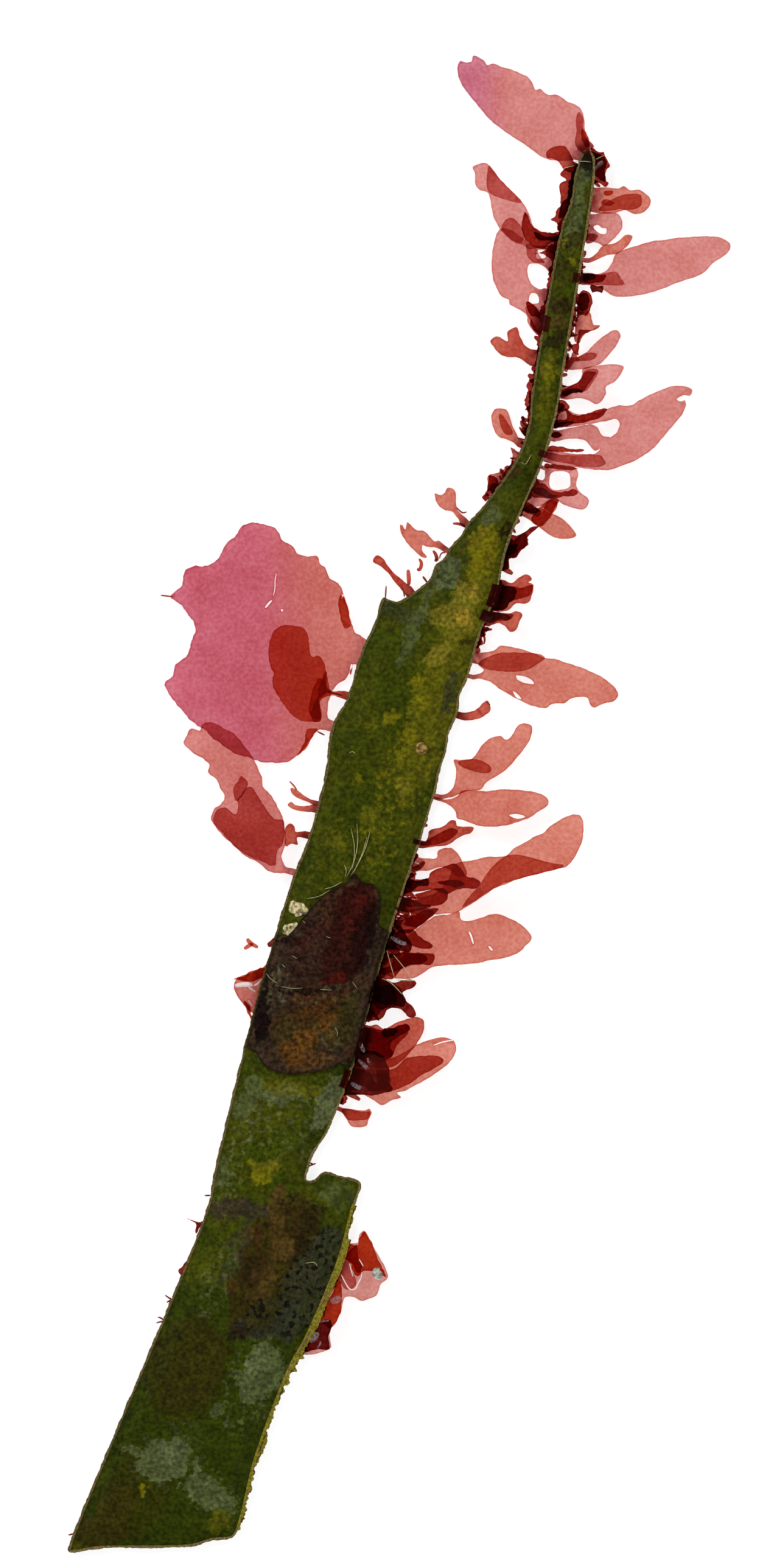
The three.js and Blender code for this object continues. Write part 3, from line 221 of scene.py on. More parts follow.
def tissue(name, colour, layers=1.0, body=0.06, roughness=0.4, wrinkles=0.25, gloss=0.4,
           blush=None, roots=0.8):
    """Thin red tissue: light that passes is tinted by its colour, more where it is thicker."""
    shader = Shader(name)

    def passed(shown, power):
        seen = linear(shown) ** layers / FLOOR_RADIANCE
        return rgba(np.clip((np.sqrt(seen)) ** power / (1 - body), 0, 1))

    cloud = shader.noise(2.4, 3)
    grain = shader.noise(0.24, 4)
    edge = shader.attribute("edge_mm")
    rim = shader.ramp(edge, 0.02, 0.16, 1.0, 0.0)
    clouded = shader.math("MULTIPLY_ADD", cloud, 0.8, -0.28)
    grained = shader.math("MULTIPLY_ADD", shader.ramp(grain, 0.32, 0.68), 0.4, clouded)
    amount = shader.math("MULTIPLY_ADD", rim, 0.35, grained, clamp=True)
    light, deep = passed(colour, THIN_TINT), passed(colour, THICK_TINT)
    if blush:
        other, start, end = blush
        across = shader.add("ShaderNodeSeparateXYZ", {0: shader.place}).outputs["X"]
        turned = shader.ramp(shader.math("MULTIPLY_ADD", cloud, 2.0, across), start, end)
        light = shader.mix(turned, passed(other, THIN_TINT), light)
        deep = shader.mix(turned, passed(other, THICK_TINT), deep)
    passing = shader.mix(amount, light, deep)
    streaks = shader.ramp(shader.noise(0.5, 3), 0.3, 0.6, 0.35, 1.0)
    root = shader.ramp(shader.attribute("root_mm"), 0.1, 1.1, roots, 0.0)
    root = shader.math("MULTIPLY", root, streaks)
    passing = shader.mix(root, passing, passed("root_red", 1.0))
    clear = shader.add("ShaderNodeBsdfTransparent", {"Color": passing}).outputs[0]
    height = shader.math("ADD", grain, shader.noise(0.9, 3))
    bump = shader.add("ShaderNodeBump", {"Strength": wrinkles, "Distance": 0.1 * MM, "Height": height})
    surface = rgba(linear(colour) ** (0.8 + layers) * 0.7)
    solid = shader.add("ShaderNodeBsdfPrincipled", {
        "Base Color": surface,
        "Roughness": roughness,
        "Specular IOR Level": gloss,
        "Normal": bump.outputs[0],
    }).outputs[0]
    return shader.finish(shader.add("ShaderNodeMixShader", {0: body, 1: clear, 2: solid}).outputs[0])


# Colours that lie in grains, and colours that lie in scattered flecks
GRANULAR = ("grey_green", "pale_grey_green", "sooty", "purple_grey", "tip_grey")
FLECKED = ("soot", "lichen", "gold", "rust")
# Width of a patch's soft border in millimetres, and its most as a share of the patch
GRAINY_BORDER = 0.05
SOFT_BORDER = 0.14
MOST_BORDER = 0.3


def painted(shader, base, patches):
    """A base colour under patches: x, y, half length, half width, turn in degrees, colour, strength."""
    granules = shader.ramp(shader.noise(0.26, 4), 0.36, 0.58, 0.66, 1.0)
    flecks = shader.ramp(shader.noise(0.4, 5), 0.52, 0.62)
    wide = shader.vector("SUBTRACT", shader.noise(1.4, 2, output=1), (0.5,) * 3)
    fine = shader.vector("SUBTRACT", shader.noise(0.4, 4, output=1), (0.5,) * 3)
    moved = shader.vector("MULTIPLY_ADD", wide, (1.6, 1.6, 0), shader.place)
    moved = shader.vector("MULTIPLY_ADD", fine, (1.3, 1.3, 0), moved)
    flat = shader.add("ShaderNodeMapping", {"Vector": moved, "Scale": (1, 1, 0)}).outputs[0]
    for x, y, long, across, turn, colour, strength in patches:
        border = GRAINY_BORDER if colour in GRANULAR else SOFT_BORDER
        blur = min(MOST_BORDER, border / across)
        reach = 1 + blur
        local = shader.add("ShaderNodeMapping", {
            "Vector": flat,
            "Location": (x, y, 0),
            "Rotation": (0, 0, math.radians(turn)),
            "Scale": (long * reach, across * reach, 1),
        }, vector_type="TEXTURE").outputs[0]
        middle = shader.add("ShaderNodeTexGradient", {0: local}, gradient_type="SPHERICAL").outputs["Fac"]
        inside = shader.ramp(middle, 0.0, 2 * blur / reach, 0.0, strength)
        if colour in GRANULAR:
            inside = shader.math("MULTIPLY", inside, granules)
        if colour in FLECKED:
            inside = shader.math("MULTIPLY", inside, flecks)
        base = shader.mix(inside, base, rgba(linear(colour)))
    return base


# Patches of the kelp, from the tip down
KELP_PATCHES = [
    (-14.5, -43.0, 10.5, 7.5, 66, "low_green", 0.85),
    (-14.0, -38.8, 3.6, 1.9, 66, "low_olive", 0.7),
    (-18.0, -47.0, 3.6, 2.2, 60, "low_olive", 0.75),
    (12.7, 43.9, 1.3, 0.7, 82, "tip_grey", 0.8),
    (12.3, 41.9, 0.8, 0.35, 82, "olive_green", 0.6),
    (10.4, 30.2, 0.8, 0.9, 0, "olive_green", 0.8),
    (3.1, 15.9, 1.3, 0.9, 45, "pale_grey_green", 0.6),
    (1.2, 10.2, 1.2, 0.6, 60, "leaf_green", 0.8),
    (-8.0, -19.9, 1.7, 0.7, 0, "pale_grey_green", 0.55),
    (3.2, 8.6, 9.0, 1.7, 70, "olive_green", 0.8),
    (4.3, 13.4, 2.6, 1.1, 68, "ochre", 0.5),
    (-1.5, -2.0, 5.5, 1.2, 70, "leaf_green", 0.7),
    (12.15, 40.6, 2.9, 0.6, 82, "grey_green", 0.75),
    (12.85, 44.3, 0.9, 0.8, 0, "black_brown", 0.9),
    (11.9, 38.4, 1.1, 0.45, 5, "olive_brown", 0.8),
    (11.5, 38.3, 0.25, 0.3, 0, "yellow", 0.9),
    (11.2, 36.4, 0.9, 0.55, 10, "olive_brown", 0.6),
    (11.9, 37.1, 0.25, 0.25, 0, "yellow", 0.8),
    (11.0, 34.0, 1.1, 0.5, -8, "brown", 0.85),
    (10.9, 33.0, 0.6, 0.45, 20, "warm_brown", 0.8),
    (10.7, 31.9, 1.1, 0.4, 38, "dark_brown", 0.75),
    (10.3, 29.3, 0.6, 0.8, 0, "yellow", 0.6),
    (10.0, 27.3, 1.3, 0.6, 80, "olive_green", 0.7),
    (9.2, 24.1, 0.9, 0.7, 60, "leaf_green", 0.9),
    (7.8, 22.7, 0.9, 0.5, 35, "brown", 0.8),
    (6.3, 19.7, 0.8, 0.6, 45, "grey_green", 0.7),
    (5.8, 17.6, 1.5, 0.95, 62, "yellow", 0.85),
    (5.3, 16.0, 1.1, 0.85, 60, "yellow", 0.8),
    (4.4, 14.9, 0.9, 0.7, 30, "ochre", 0.8),
    (7.4, 18.7, 0.9, 0.3, 68, "dark_brown", 0.85),
    (4.3, 13.0, 0.7, 0.5, 60, "orange", 0.9),
    (5.0, 14.6, 0.35, 0.3, 0, "orange", 0.7),
    (2.9, 12.9, 0.8, 0.7, 0, "ochre", 0.7),
    (2.6, 10.1, 0.8, 0.7, 30, "ochre", 0.8),
    (4.7, 10.9, 0.6, 0.3, 10, "brown", 0.8),
    (0.1, 13.0, 1.6, 0.7, -25, "sooty", 0.55),
    (1.2, 8.4, 0.6, 0.45, 40, "yellow", 0.8),
    (1.5, 7.2, 0.4, 0.3, 0, "yellow", 0.7),
    (-0.6, 5.8, 0.5, 0.35, 30, "yellow", 0.7),
    (0.6, 4.5, 0.7, 0.4, 0, "yellow", 0.8),
    (-1.9, 5.5, 0.3, 0.3, 0, "olive_green", 0.7),
    (-0.1, 3.6, 0.4, 0.3, 0, "yellow", 0.6),
    (-1.1, 2.2, 0.5, 0.35, 50, "yellow", 0.7),
    (0.4, 1.3, 0.5, 0.3, 40, "ochre", 0.6),
    (-3.0, 1.6, 0.3, 0.25, 0, "yellow", 0.7),
    (0.2, 0.2, 0.35, 0.5, 0, "yellow", 0.6),
    (-2.2, -1.0, 0.9, 0.6, 60, "olive_green", 0.8),
    (-4.2, -2.6, 0.6, 0.5, 0, "olive_green", 0.8),
    (-5.4, -3.9, 0.6, 0.45, 20, "leaf_green", 0.8),
    (-7.4, -19.3, 2.3, 0.7, -8, "olive_green", 0.8),
    (-10.3, -20.0, 1.7, 0.8, 68, "grey_green", 0.7),
    (-4.9, -20.3, 1.9, 0.8, 66, "pale_grey_green", 0.75),
    (-8.2, -21.4, 1.4, 0.8, 20, "leaf_green", 0.8),
    (-9.0, -23.4, 1.5, 0.6, 10, "bright_green", 0.8),
    (-9.3, -24.9, 0.9, 0.8, 0, "yellow", 0.75),
    (-12.0, -25.1, 1.0, 0.5, 75, "grey_green", 0.55),
    (-4.3, -26.6, 1.2, 0.9, 0, "grey_green", 0.45),
    (-8.6, -31.6, 5.2, 2.6, 66, "brown", 0.8),
    (-10.7, -27.6, 2.3, 0.7, -6, "purple_grey", 0.95),
    (-6.1, -32.6, 4.4, 1.5, 64, "sooty", 0.85),
    (-9.0, -35.2, 2.5, 1.3, 20, "sooty", 0.8),
    (-11.0, -36.1, 0.8, 0.5, 20, "dark_brown", 0.7),
    (-3.9, -27.4, 1.6, 0.5, 76, "bright_green", 0.5),
    (-8.4, -27.2, 1.4, 0.6, 60, "warm_brown", 0.85),
    (-10.3, -29.2, 0.7, 0.5, 40, "warm_brown", 0.9),
    (-7.8, -30.2, 0.9, 0.45, 70, "warm_brown", 0.8),
    (-9.2, -32.0, 0.9, 0.7, 20, "warm_brown", 0.7),
    (-7.0, -30.2, 0.9, 0.5, 66, "dark_brown", 0.7),
    (-9.4, -34.9, 1.2, 0.7, 20, "olive_brown", 0.7),
    (-14.7, -38.3, 3.6, 2.5, 66, "olive_brown", 0.65),
    (-9.6, -38.9, 2.2, 1.35, 66, "grey_green", 0.85),
    (-9.9, -38.3, 0.9, 0.7, 30, "pale_grey_green", 0.5),
    (-12.3, -41.3, 0.4, 0.5, 0, "grey_green", 0.7),
    (-16.0, -44.7, 2.0, 1.45, 25, "grey_green", 0.9),
    (-15.6, -44.1, 0.9, 0.7, 30, "pale_grey_green", 0.6),
    (-13.0, -47.1, 1.9, 1.0, -35, "grey_green", 0.75),
    (-18.3, -44.1, 0.6, 0.4, 0, "grey_green", 0.8),
    (-19.2, -47.6, 1.5, 1.1, 66, "olive_brown", 0.7),
    (-20.6, -49.6, 2.1, 1.1, 0, "olive_brown", 0.9),
    (0.5, 1.5, 7.0, 1.8, 70, "gold", 0.55),
    (3.5, 11.5, 5.5, 1.6, 68, "gold", 0.4),
    (2.6, 13.6, 4.0, 2.0, 68, "soot", 0.35),
    (5.5, 17.5, 3.0, 1.2, 62, "rust", 0.35),
    (10.8, 32.5, 6.0, 1.2, 80, "soot", 0.4),
    (11.9, 40.5, 3.2, 0.8, 82, "soot", 0.5),
    (-4.5, -4.5, 4.5, 2.0, 66, "gold", 0.25),
    (-7.6, -21.8, 3.4, 2.6, 66, "lichen", 0.25),
    (-10.9, -24.0, 3.5, 0.8, 72, "lichen", 0.4),
    (-9.2, -24.6, 2.4, 1.6, 66, "gold", 0.25),
    (-8.0, -31.0, 4.6, 2.6, 66, "soot", 0.75),
    (-6.0, -32.6, 4.2, 1.4, 64, "soot", 0.9),
    (-9.2, -35.2, 2.4, 1.2, 20, "soot", 0.7),
    (-10.2, -31.0, 2.6, 1.2, 66, "rust", 0.5),
    (-11.2, -30.6, 2.6, 0.7, 66, "sooty", 0.5),
    (-6.2, -28.4, 1.5, 0.8, 40, "dark_brown", 0.5),
    (-10.0, -31.8, 1.2, 0.9, 60, "dark_brown", 0.5),
    (-7.8, -29.6, 2.4, 0.9, 66, "rust", 0.4),
    (-12.4, -32.6, 3.0, 1.0, 66, "lichen", 0.3),
    (-10.0, -39.6, 3.6, 2.0, 66, "lichen", 0.25),
    (-15.8, -44.6, 3.0, 2.2, 40, "lichen", 0.3),
    (-13.2, -46.8, 2.6, 1.6, -35, "lichen", 0.35),
    (-15.8, -41.5, 6.0, 3.6, 66, "soot", 0.35),
    (1.0, 12.0, 2.9, 0.5, 66, "grey_green", 0.6),
    (3.5, 7.6, 1.6, 0.4, 75, "sooty", 0.7),
    (-8.3, -28.7, 2.5, 0.5, 85, "warm_brown", 0.6),
    (-9.4, -33.4, 0.9, 0.6, 30, "warm_brown", 0.6),
    (-17.6, -46.9, 0.3, 0.25, 0, "yellow", 0.8),
    (-12.2, -49.0, 0.9, 0.6, 0, "olive_green", 0.7),
]

# Patches of the blade that lies over the kelp
CROSSING_PATCHES = [
    (-7.2, -10.8, 2.6, 1.3, 66, "cross_grey", 0.8),
    (-6.3, -15.2, 2.6, 1.6, 20, "cross_olive", 0.9),
    (-3.6, -14.6, 1.9, 0.8, 72, "olive_brown", 0.7),
    (-6.6, -15.6, 0.8, 0.5, 30, "cross_orange", 0.6),
    (-5.6, -14.4, 0.5, 0.4, 0, "cross_orange", 0.5),
    (-7.4, -16.8, 0.6, 0.4, 0, "cross_orange", 0.5),
    (-3.4, -8.8, 3.8, 1.4, 72, "cross_red", 0.85),
    (-2.4, -8.9, 2.6, 0.8, 74, "cross_black", 0.9),
    (-3.3, -6.4, 1.1, 0.9, 30, "cross_red", 0.9),
    (-3.2, -11.3, 1.3, 0.6, 40, "cross_black", 0.6),
    (-9.45, -15.0, 1.5, 0.55, 85, "cross_black", 1.0),
    (-4.9, -14.8, 0.9, 0.5, 20, "cross_orange", 0.8),
    (-6.9, -16.6, 1.6, 0.6, 35, "cross_orange", 0.8),
    (-6.3, -13.0, 1.0, 0.35, 5, "cross_orange", 0.5),
    (-7.4, -9.2, 0.8, 0.25, 8, "cross_black", 0.9),
    (-4.3, -11.8, 0.5, 0.4, 0, "blood", 0.35),
    (-9.1, -12.2, 0.9, 0.2, 75, "cross_black", 0.7),
    (-8.9, -17.2, 1.3, 0.7, -30, "cross_grey", 0.9),
    (-6.0, -17.4, 1.7, 0.6, 5, "cross_orange", 0.5),
    (-5.6, -13.9, 1.6, 0.35, 20, "cross_orange", 0.6),
    (-4.6, -9.6, 3.6, 2.0, 68, "soot", 0.7),
    (-5.0, -10.5, 4.5, 2.6, 68, "cross_red", 0.35),
    (-6.3, -15.4, 3.2, 2.2, 30, "rust", 0.45),
    (-6.3, -15.4, 3.2, 2.4, 30, "soot", 0.4),
    (-6.4, -12.55, 2.7, 0.16, 0, "cross_black", 0.75),
    (-9.5, -14.2, 2.2, 0.5, 84, "cross_black", 0.9),
    (-8.2, -12.4, 1.6, 0.9, 70, "lichen", 0.3),
    (-5.2, -12.9, 2.4, 0.7, 5, "lichen", 0.22),
    (-4.4, -16.2, 1.6, 0.8, 70, "lichen", 0.2),
    (-2.9, -7.4, 1.6, 0.6, 60, "blood", 0.1),
    (-5.9, -8.9, 1.5, 0.5, 40, "blood", 0.06),
]


def kelp_skin(name, base_colours, patches, margin_colour, roughness, contrast):
    """Leathery skin: two mottled greens or browns, patches over them, dark margins and fine grit."""
    shader = Shader(name)
    mottle = shader.ramp(shader.noise(2.6, 3), 0.35, 0.65)
    base = shader.mix(mottle, rgba(linear(base_colours[0])), rgba(linear(base_colours[1])))
    colour = painted(shader, base, patches)
    speckle = shader.ramp(shader.noise(0.28, 5), 0.3, 0.7, 1 - contrast, 1 + contrast)
    blotch = shader.ramp(shader.noise(0.9, 3), 0.3, 0.7, 0.8, 1.2)
    lightness = shader.math("MULTIPLY", speckle, blotch)
    scaled = shader.add("ShaderNodeVectorMath", {0: colour, "Scale": lightness}, operation="SCALE")
    colour = scaled.outputs[0]
    grit = shader.ramp(shader.noise(0.1, 1), 0.72, 0.78)
    colour = shader.mix(shader.math("MULTIPLY", grit, 0.3), colour, rgba(linear("ochre")))
    ragged_edge = shader.math("MULTIPLY_ADD", shader.noise(0.4, 2), 0.12, shader.attribute("edge_mm"))
    margin = shader.ramp(ragged_edge, 0.1, 0.28, 0.6, 0.0)
    colour = shader.mix(margin, colour, rgba(linear("black_brown")))
    outer = shader.ramp(ragged_edge, 0.05, 0.12, 0.55, 0.0)
    colour = shader.mix(outer, colour, rgba(linear(margin_colour)))
    height = shader.math("ADD", shader.noise(0.22, 4), shader.math("MULTIPLY", shader.noise(1.1, 3), 2.0))
    bump = shader.add("ShaderNodeBump", {"Strength": 0.6, "Distance": 0.12 * MM, "Height": height})
    surface = shader.add("ShaderNodeBsdfPrincipled", {
        "Base Color": colour,
        "Roughness": shader.ramp(shader.noise(0.6, 2), 0.3, 0.7, roughness - 0.12, roughness + 0.12),
        "Specular IOR Level": 0.03,
        "Normal": bump.outputs[0],
    }).outputs[0]
    return shader.finish(surface)


def plain_matter(name, colour, size=0.3, depth=0.45, roughness=0.7):
    """Opaque matter of one colour, with lighter and darker grains of a given size."""
    shader = Shader(name)
    grains = shader.noise(size, 4)
    tone = linear(colour)
    mixed = shader.mix(shader.ramp(grains, 0.3, 0.7), rgba(tone * (1 - depth)), rgba(tone * (1 + depth)))
    bump = shader.add("ShaderNodeBump", {"Strength": 0.5, "Distance": 0.05 * MM, "Height": grains})
    surface = shader.add("ShaderNodeBsdfPrincipled", {
        "Base Color": mixed,
        "Roughness": roughness,
        "Specular IOR Level": 0.2,
        "Normal": bump.outputs[0],
    }).outputs[0]
    return shader.finish(surface)


def sheen(name, colour):
    """Pale reflections on wet-looking folds: broken patches over what lies below."""
    shader = Shader(name)
    shown = shader.ramp(shader.noise(0.18, 3), 0.4, 0.62, 0.1, 0.5)
    clear = shader.add("ShaderNodeBsdfTransparent", {"Color": (1, 1, 1, 1)}).outputs[0]
    pale = shader.add("ShaderNodeBsdfPrincipled", {
        "Base Color": rgba(linear(colour)),
        "Roughness": 0.3,
        "Specular IOR Level": 0.5,
    }).outputs[0]
    return shader.finish(shader.add("ShaderNodeMixShader", {0: shown, 1: clear, 2: pale}).outputs[0])


# Outlines
def underside(faces):
    return [face for face in faces if face.normal.z < -0.5]


def loops_around(faces):
    """The closed outlines of a group of faces, as arrays of places in millimetres."""
    group = set(faces)
    follow = {}
    for face in faces:
        for loop in face.loops:
            if sum(near in group for near in loop.edge.link_faces) == 1:
                follow.setdefault(loop.vert, []).append(loop.link_loop_next.vert)
    outlines = []
    while follow:
        start = next(iter(follow))
        ring = []
        vert = start
        while vert in follow:
            ring.append((vert.co.x / MM, vert.co.y / MM))
            after = follow[vert].pop()
            if not follow[vert]:
                del follow[vert]
            vert = after
        if len(ring) > 3:
            outlines.append(np.array(ring))
    return outlines


def corners_only(ring, least_turn=4.0):
    """The ring without the places that lie on a straight run."""
    before = ring - np.roll(ring, 1, axis=0)
    after = np.roll(ring, -1, axis=0) - ring
    cross = before[:, 0] * after[:, 1] - before[:, 1] * after[:, 0]
    turn = np.degrees(np.arctan2(np.abs(cross), (before * after).sum(axis=1)))
    kept = ring[turn > least_turn]
    return kept if len(kept) > 3 else ring


def smooth_ring(ring, step):
    """A closed smooth line through the ring, with a place about every step."""
    count = len(ring)
    places = []
    for index in range(count):
        p0, p1, p2, p3 = (ring[(index + offset) % count] for offset in (-1, 0, 1, 2))
        t1 = max(math.dist(p0, p1), 1e-3) ** 0.5
        t2 = t1 + max(math.dist(p1, p2), 1e-3) ** 0.5
        t3 = t2 + max(math.dist(p2, p3), 1e-3) ** 0.5
        steps = max(1, round(math.dist(p1, p2) / step))
        for t in np.linspace(t1, t2, steps, endpoint=False):
            a1 = p0 * (t1 - t) / t1 + p1 * t / t1
            a2 = p1 * (t2 - t) / (t2 - t1) + p2 * (t - t1) / (t2 - t1)
            a3 = p2 * (t3 - t) / (t3 - t2) + p3 * (t - t2) / (t3 - t2)
            b1 = a1 * (t2 - t) / t2 + a2 * t / t2
            b2 = a2 * (t3 - t) / (t3 - t1) + a3 * (t - t1) / (t3 - t1)
            places.append(b1 * (t2 - t) / (t2 - t1) + b2 * (t - t1) / (t2 - t1))
    return np.array(places)


def wobble(places, size, seed):
    """Smooth noise between about -1 and 1 at each place."""
    return np.array([noise.noise(Vector((x / size, y / size, seed))) for x, y in places])


def ragged(ring, depth, seed):
    """The ring with small waves and teeth."""
    along = np.roll(ring, -1, axis=0) - np.roll(ring, 1, axis=0)
    lengths = np.maximum(np.linalg.norm(along, axis=1, keepdims=True), SAME_POINT)
    outward = np.stack([along[:, 1], -along[:, 0]], axis=1) / lengths
    waves = wobble(ring, 1.1, seed)
    waves = waves + 0.7 * wobble(ring, 0.4, seed + 7.3)
    waves = waves + 0.5 * wobble(ring, 0.2, seed + 2.1)
    return ring + outward * (depth * waves)[:, None]


def flat_fill(rings, cell, seed, inset=0.0):
    """Triangles that fill the rings, with holes left open, and the distance of each corner from the edge.

    With an inset, a row of corners follows the edge at that distance.
    """
    rim = np.concatenate(rings)
    edges = []
    start = 0
    for ring in rings:
        edges += [(start + i, start + (i + 1) % len(ring)) for i in range(len(ring))]
        start += len(ring)
    random_places = random.Random(seed)
    low, high = rim.min(axis=0), rim.max(axis=0)
    inner = []
    shake = CORNER_SHAKE * cell
    for row, y in enumerate(np.arange(low[1], high[1], cell * ROW_SPACING)):
        for x in np.arange(low[0] + cell * 0.5 * (row % 2), high[0], cell):
            across = random_places.uniform(-shake, shake)
            up = random_places.uniform(-shake, shake)
            inner.append((x + across, y + up))
    inner = np.array(inner).reshape(-1, 2)
    if len(inner):
        inner = inner[nearest(inner, rim) > inset + CORNER_CLEARANCE * cell]
    if inset:
        row = rim[::2] - outward_of(rim)[::2] * inset
        inner = np.concatenate([row[nearest(row, rim) > 0.9 * inset], inner])
    places = np.concatenate([rim, inner])
    filled = delaunay_2d_cdt([Vector(p) for p in places], edges, [], 0, 1e-5)
    corners = np.array([tuple(v) for v in filled[0]])
    triangles = np.array(filled[2])
    kept = is_inside(corners[triangles].mean(axis=1), rings)
    return corners, triangles[kept], nearest(corners, rim)


def is_inside(places, rings):
    """Whether each place is within the rings and in none of their holes."""
    starts = np.concatenate(rings)
    ends = np.concatenate([np.roll(ring, -1, axis=0) for ring in rings])
    rise = np.where(ends[:, 1] == starts[:, 1], 1e-9, ends[:, 1] - starts[:, 1])
    inside = np.empty(len(places), bool)
    for first in range(0, len(places), BATCH):
        x, y = places[first:first + BATCH, 0:1], places[first:first + BATCH, 1:2]
        spans = (starts[:, 1] > y) != (ends[:, 1] > y)
        crossing = starts[:, 0] + (y - starts[:, 1]) * (ends[:, 0] - starts[:, 0]) / rise
        inside[first:first + BATCH] = (spans & (x < crossing)).sum(axis=1) % 2 == 1
    return inside


def nearest(places, others):
    """Distance from each place to the nearest of the others."""
    found = np.empty(len(places))
    for start in range(0, len(places), BATCH):
        part = places[start:start + BATCH]
        squares = ((part[:, None, :] - others[None, :, :]) ** 2).sum(axis=2)
        found[start:start + BATCH] = np.sqrt(squares.min(axis=1))
    return found


# The kelp's margin, against which every blade is placed
def cad_faces(node):
    shape = bmesh.new()
    shape.from_mesh(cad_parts[node].data)
    bmesh.ops.remove_doubles(shape, verts=shape.verts, dist=SAME_POINT)
    shape.normal_update()
    return shape


def kelp_margin():
    shape = cad_faces("kelp_strap")
    ring = max(loops_around(underside(shape.faces)), key=len)
    shape.free()
    return smooth_ring(corners_only(ring), KELP_STEP)


MARGIN = kelp_margin()


def margin_distance(places):
    """How far each place is outside the kelp, less than nothing on it, and the margin's nearest place."""
    start, end = MARGIN, np.roll(MARGIN, -1, axis=0)
    run = end - start
    distance = np.empty(len(places))
    foot = np.empty((len(places), 2))
    for first in range(0, len(places), BATCH):
        part = places[first:first + BATCH]
        offset = part[:, None, :] - start[None]
        along = np.clip((offset * run).sum(axis=2) / (run ** 2).sum(axis=1), 0, 1)
        feet = start[None] + along[..., None] * run[None]
        away = np.linalg.norm(part[:, None, :] - feet, axis=2)
        best = away.argmin(axis=1)
        rows = np.arange(len(part))
        distance[first:first + BATCH] = away[rows, best]
        foot[first:first + BATCH] = feet[rows, best]
    return np.where(is_inside(places, [MARGIN]), -distance, distance), foot


def wave_height(places, distance):
    """Height of the underside of a lowest blade."""
    x, y = (places - SHIFT).T
    reach = smoothstep(distance, 0, WAVE_REACH)
    waves = WAVE_HEIGHT * np.sin(0.75 * x + 0.35 * y) * np.cos(0.6 * y - 0.25 * x)
    return FLOOR_GAP + reach * (WAVE_LIFT + waves)


def kelp_height(places, depth):
    """Height of the kelp's upper side, this deep inside its margin."""
    swell = 0.08 * wobble(places, 2.4, 5.0) + 0.04 * wobble(places, 0.9, 6.0)
    crown = KELP_CROWN * smoothstep(depth, 0, KELP_CROWN_REACH)
    return KELP_MARGIN_HEIGHT + crown + swell * smoothstep(depth, 0, 0.8)


def smooth_line(points, rounds=3):
    """A line through the points with its corners cut round."""
    line = np.array(points, float)
    for _ in range(rounds):
        near = 0.75 * line[:-1] + 0.25 * line[1:]
        far = 0.25 * line[:-1] + 0.75 * line[1:]
        middle = np.stack([near, far], axis=1).reshape(-1, 2)
        line = np.concatenate([line[:1], middle, line[-1:]])
    return line


def tapered(line, width):
    """Widths along a line, narrow at both ends."""
    part = np.linspace(0.06, 0.94, len(line))
    return width * np.sin(math.pi * part) ** 0.6


def slit_ring(points, width):
    """The outline of a narrow slit along a line."""
    line = smooth_line(points, 2) + SHIFT
    run = np.gradient(line, axis=0)
    side = np.stack([-run[:, 1], run[:, 0]], axis=1)
    side /= np.maximum(np.linalg.norm(side, axis=1, keepdims=True), SAME_POINT)
    half = tapered(line, width)[:, None] / 2
    return np.concatenate([line + side * half, (line - side * half)[::-1]])


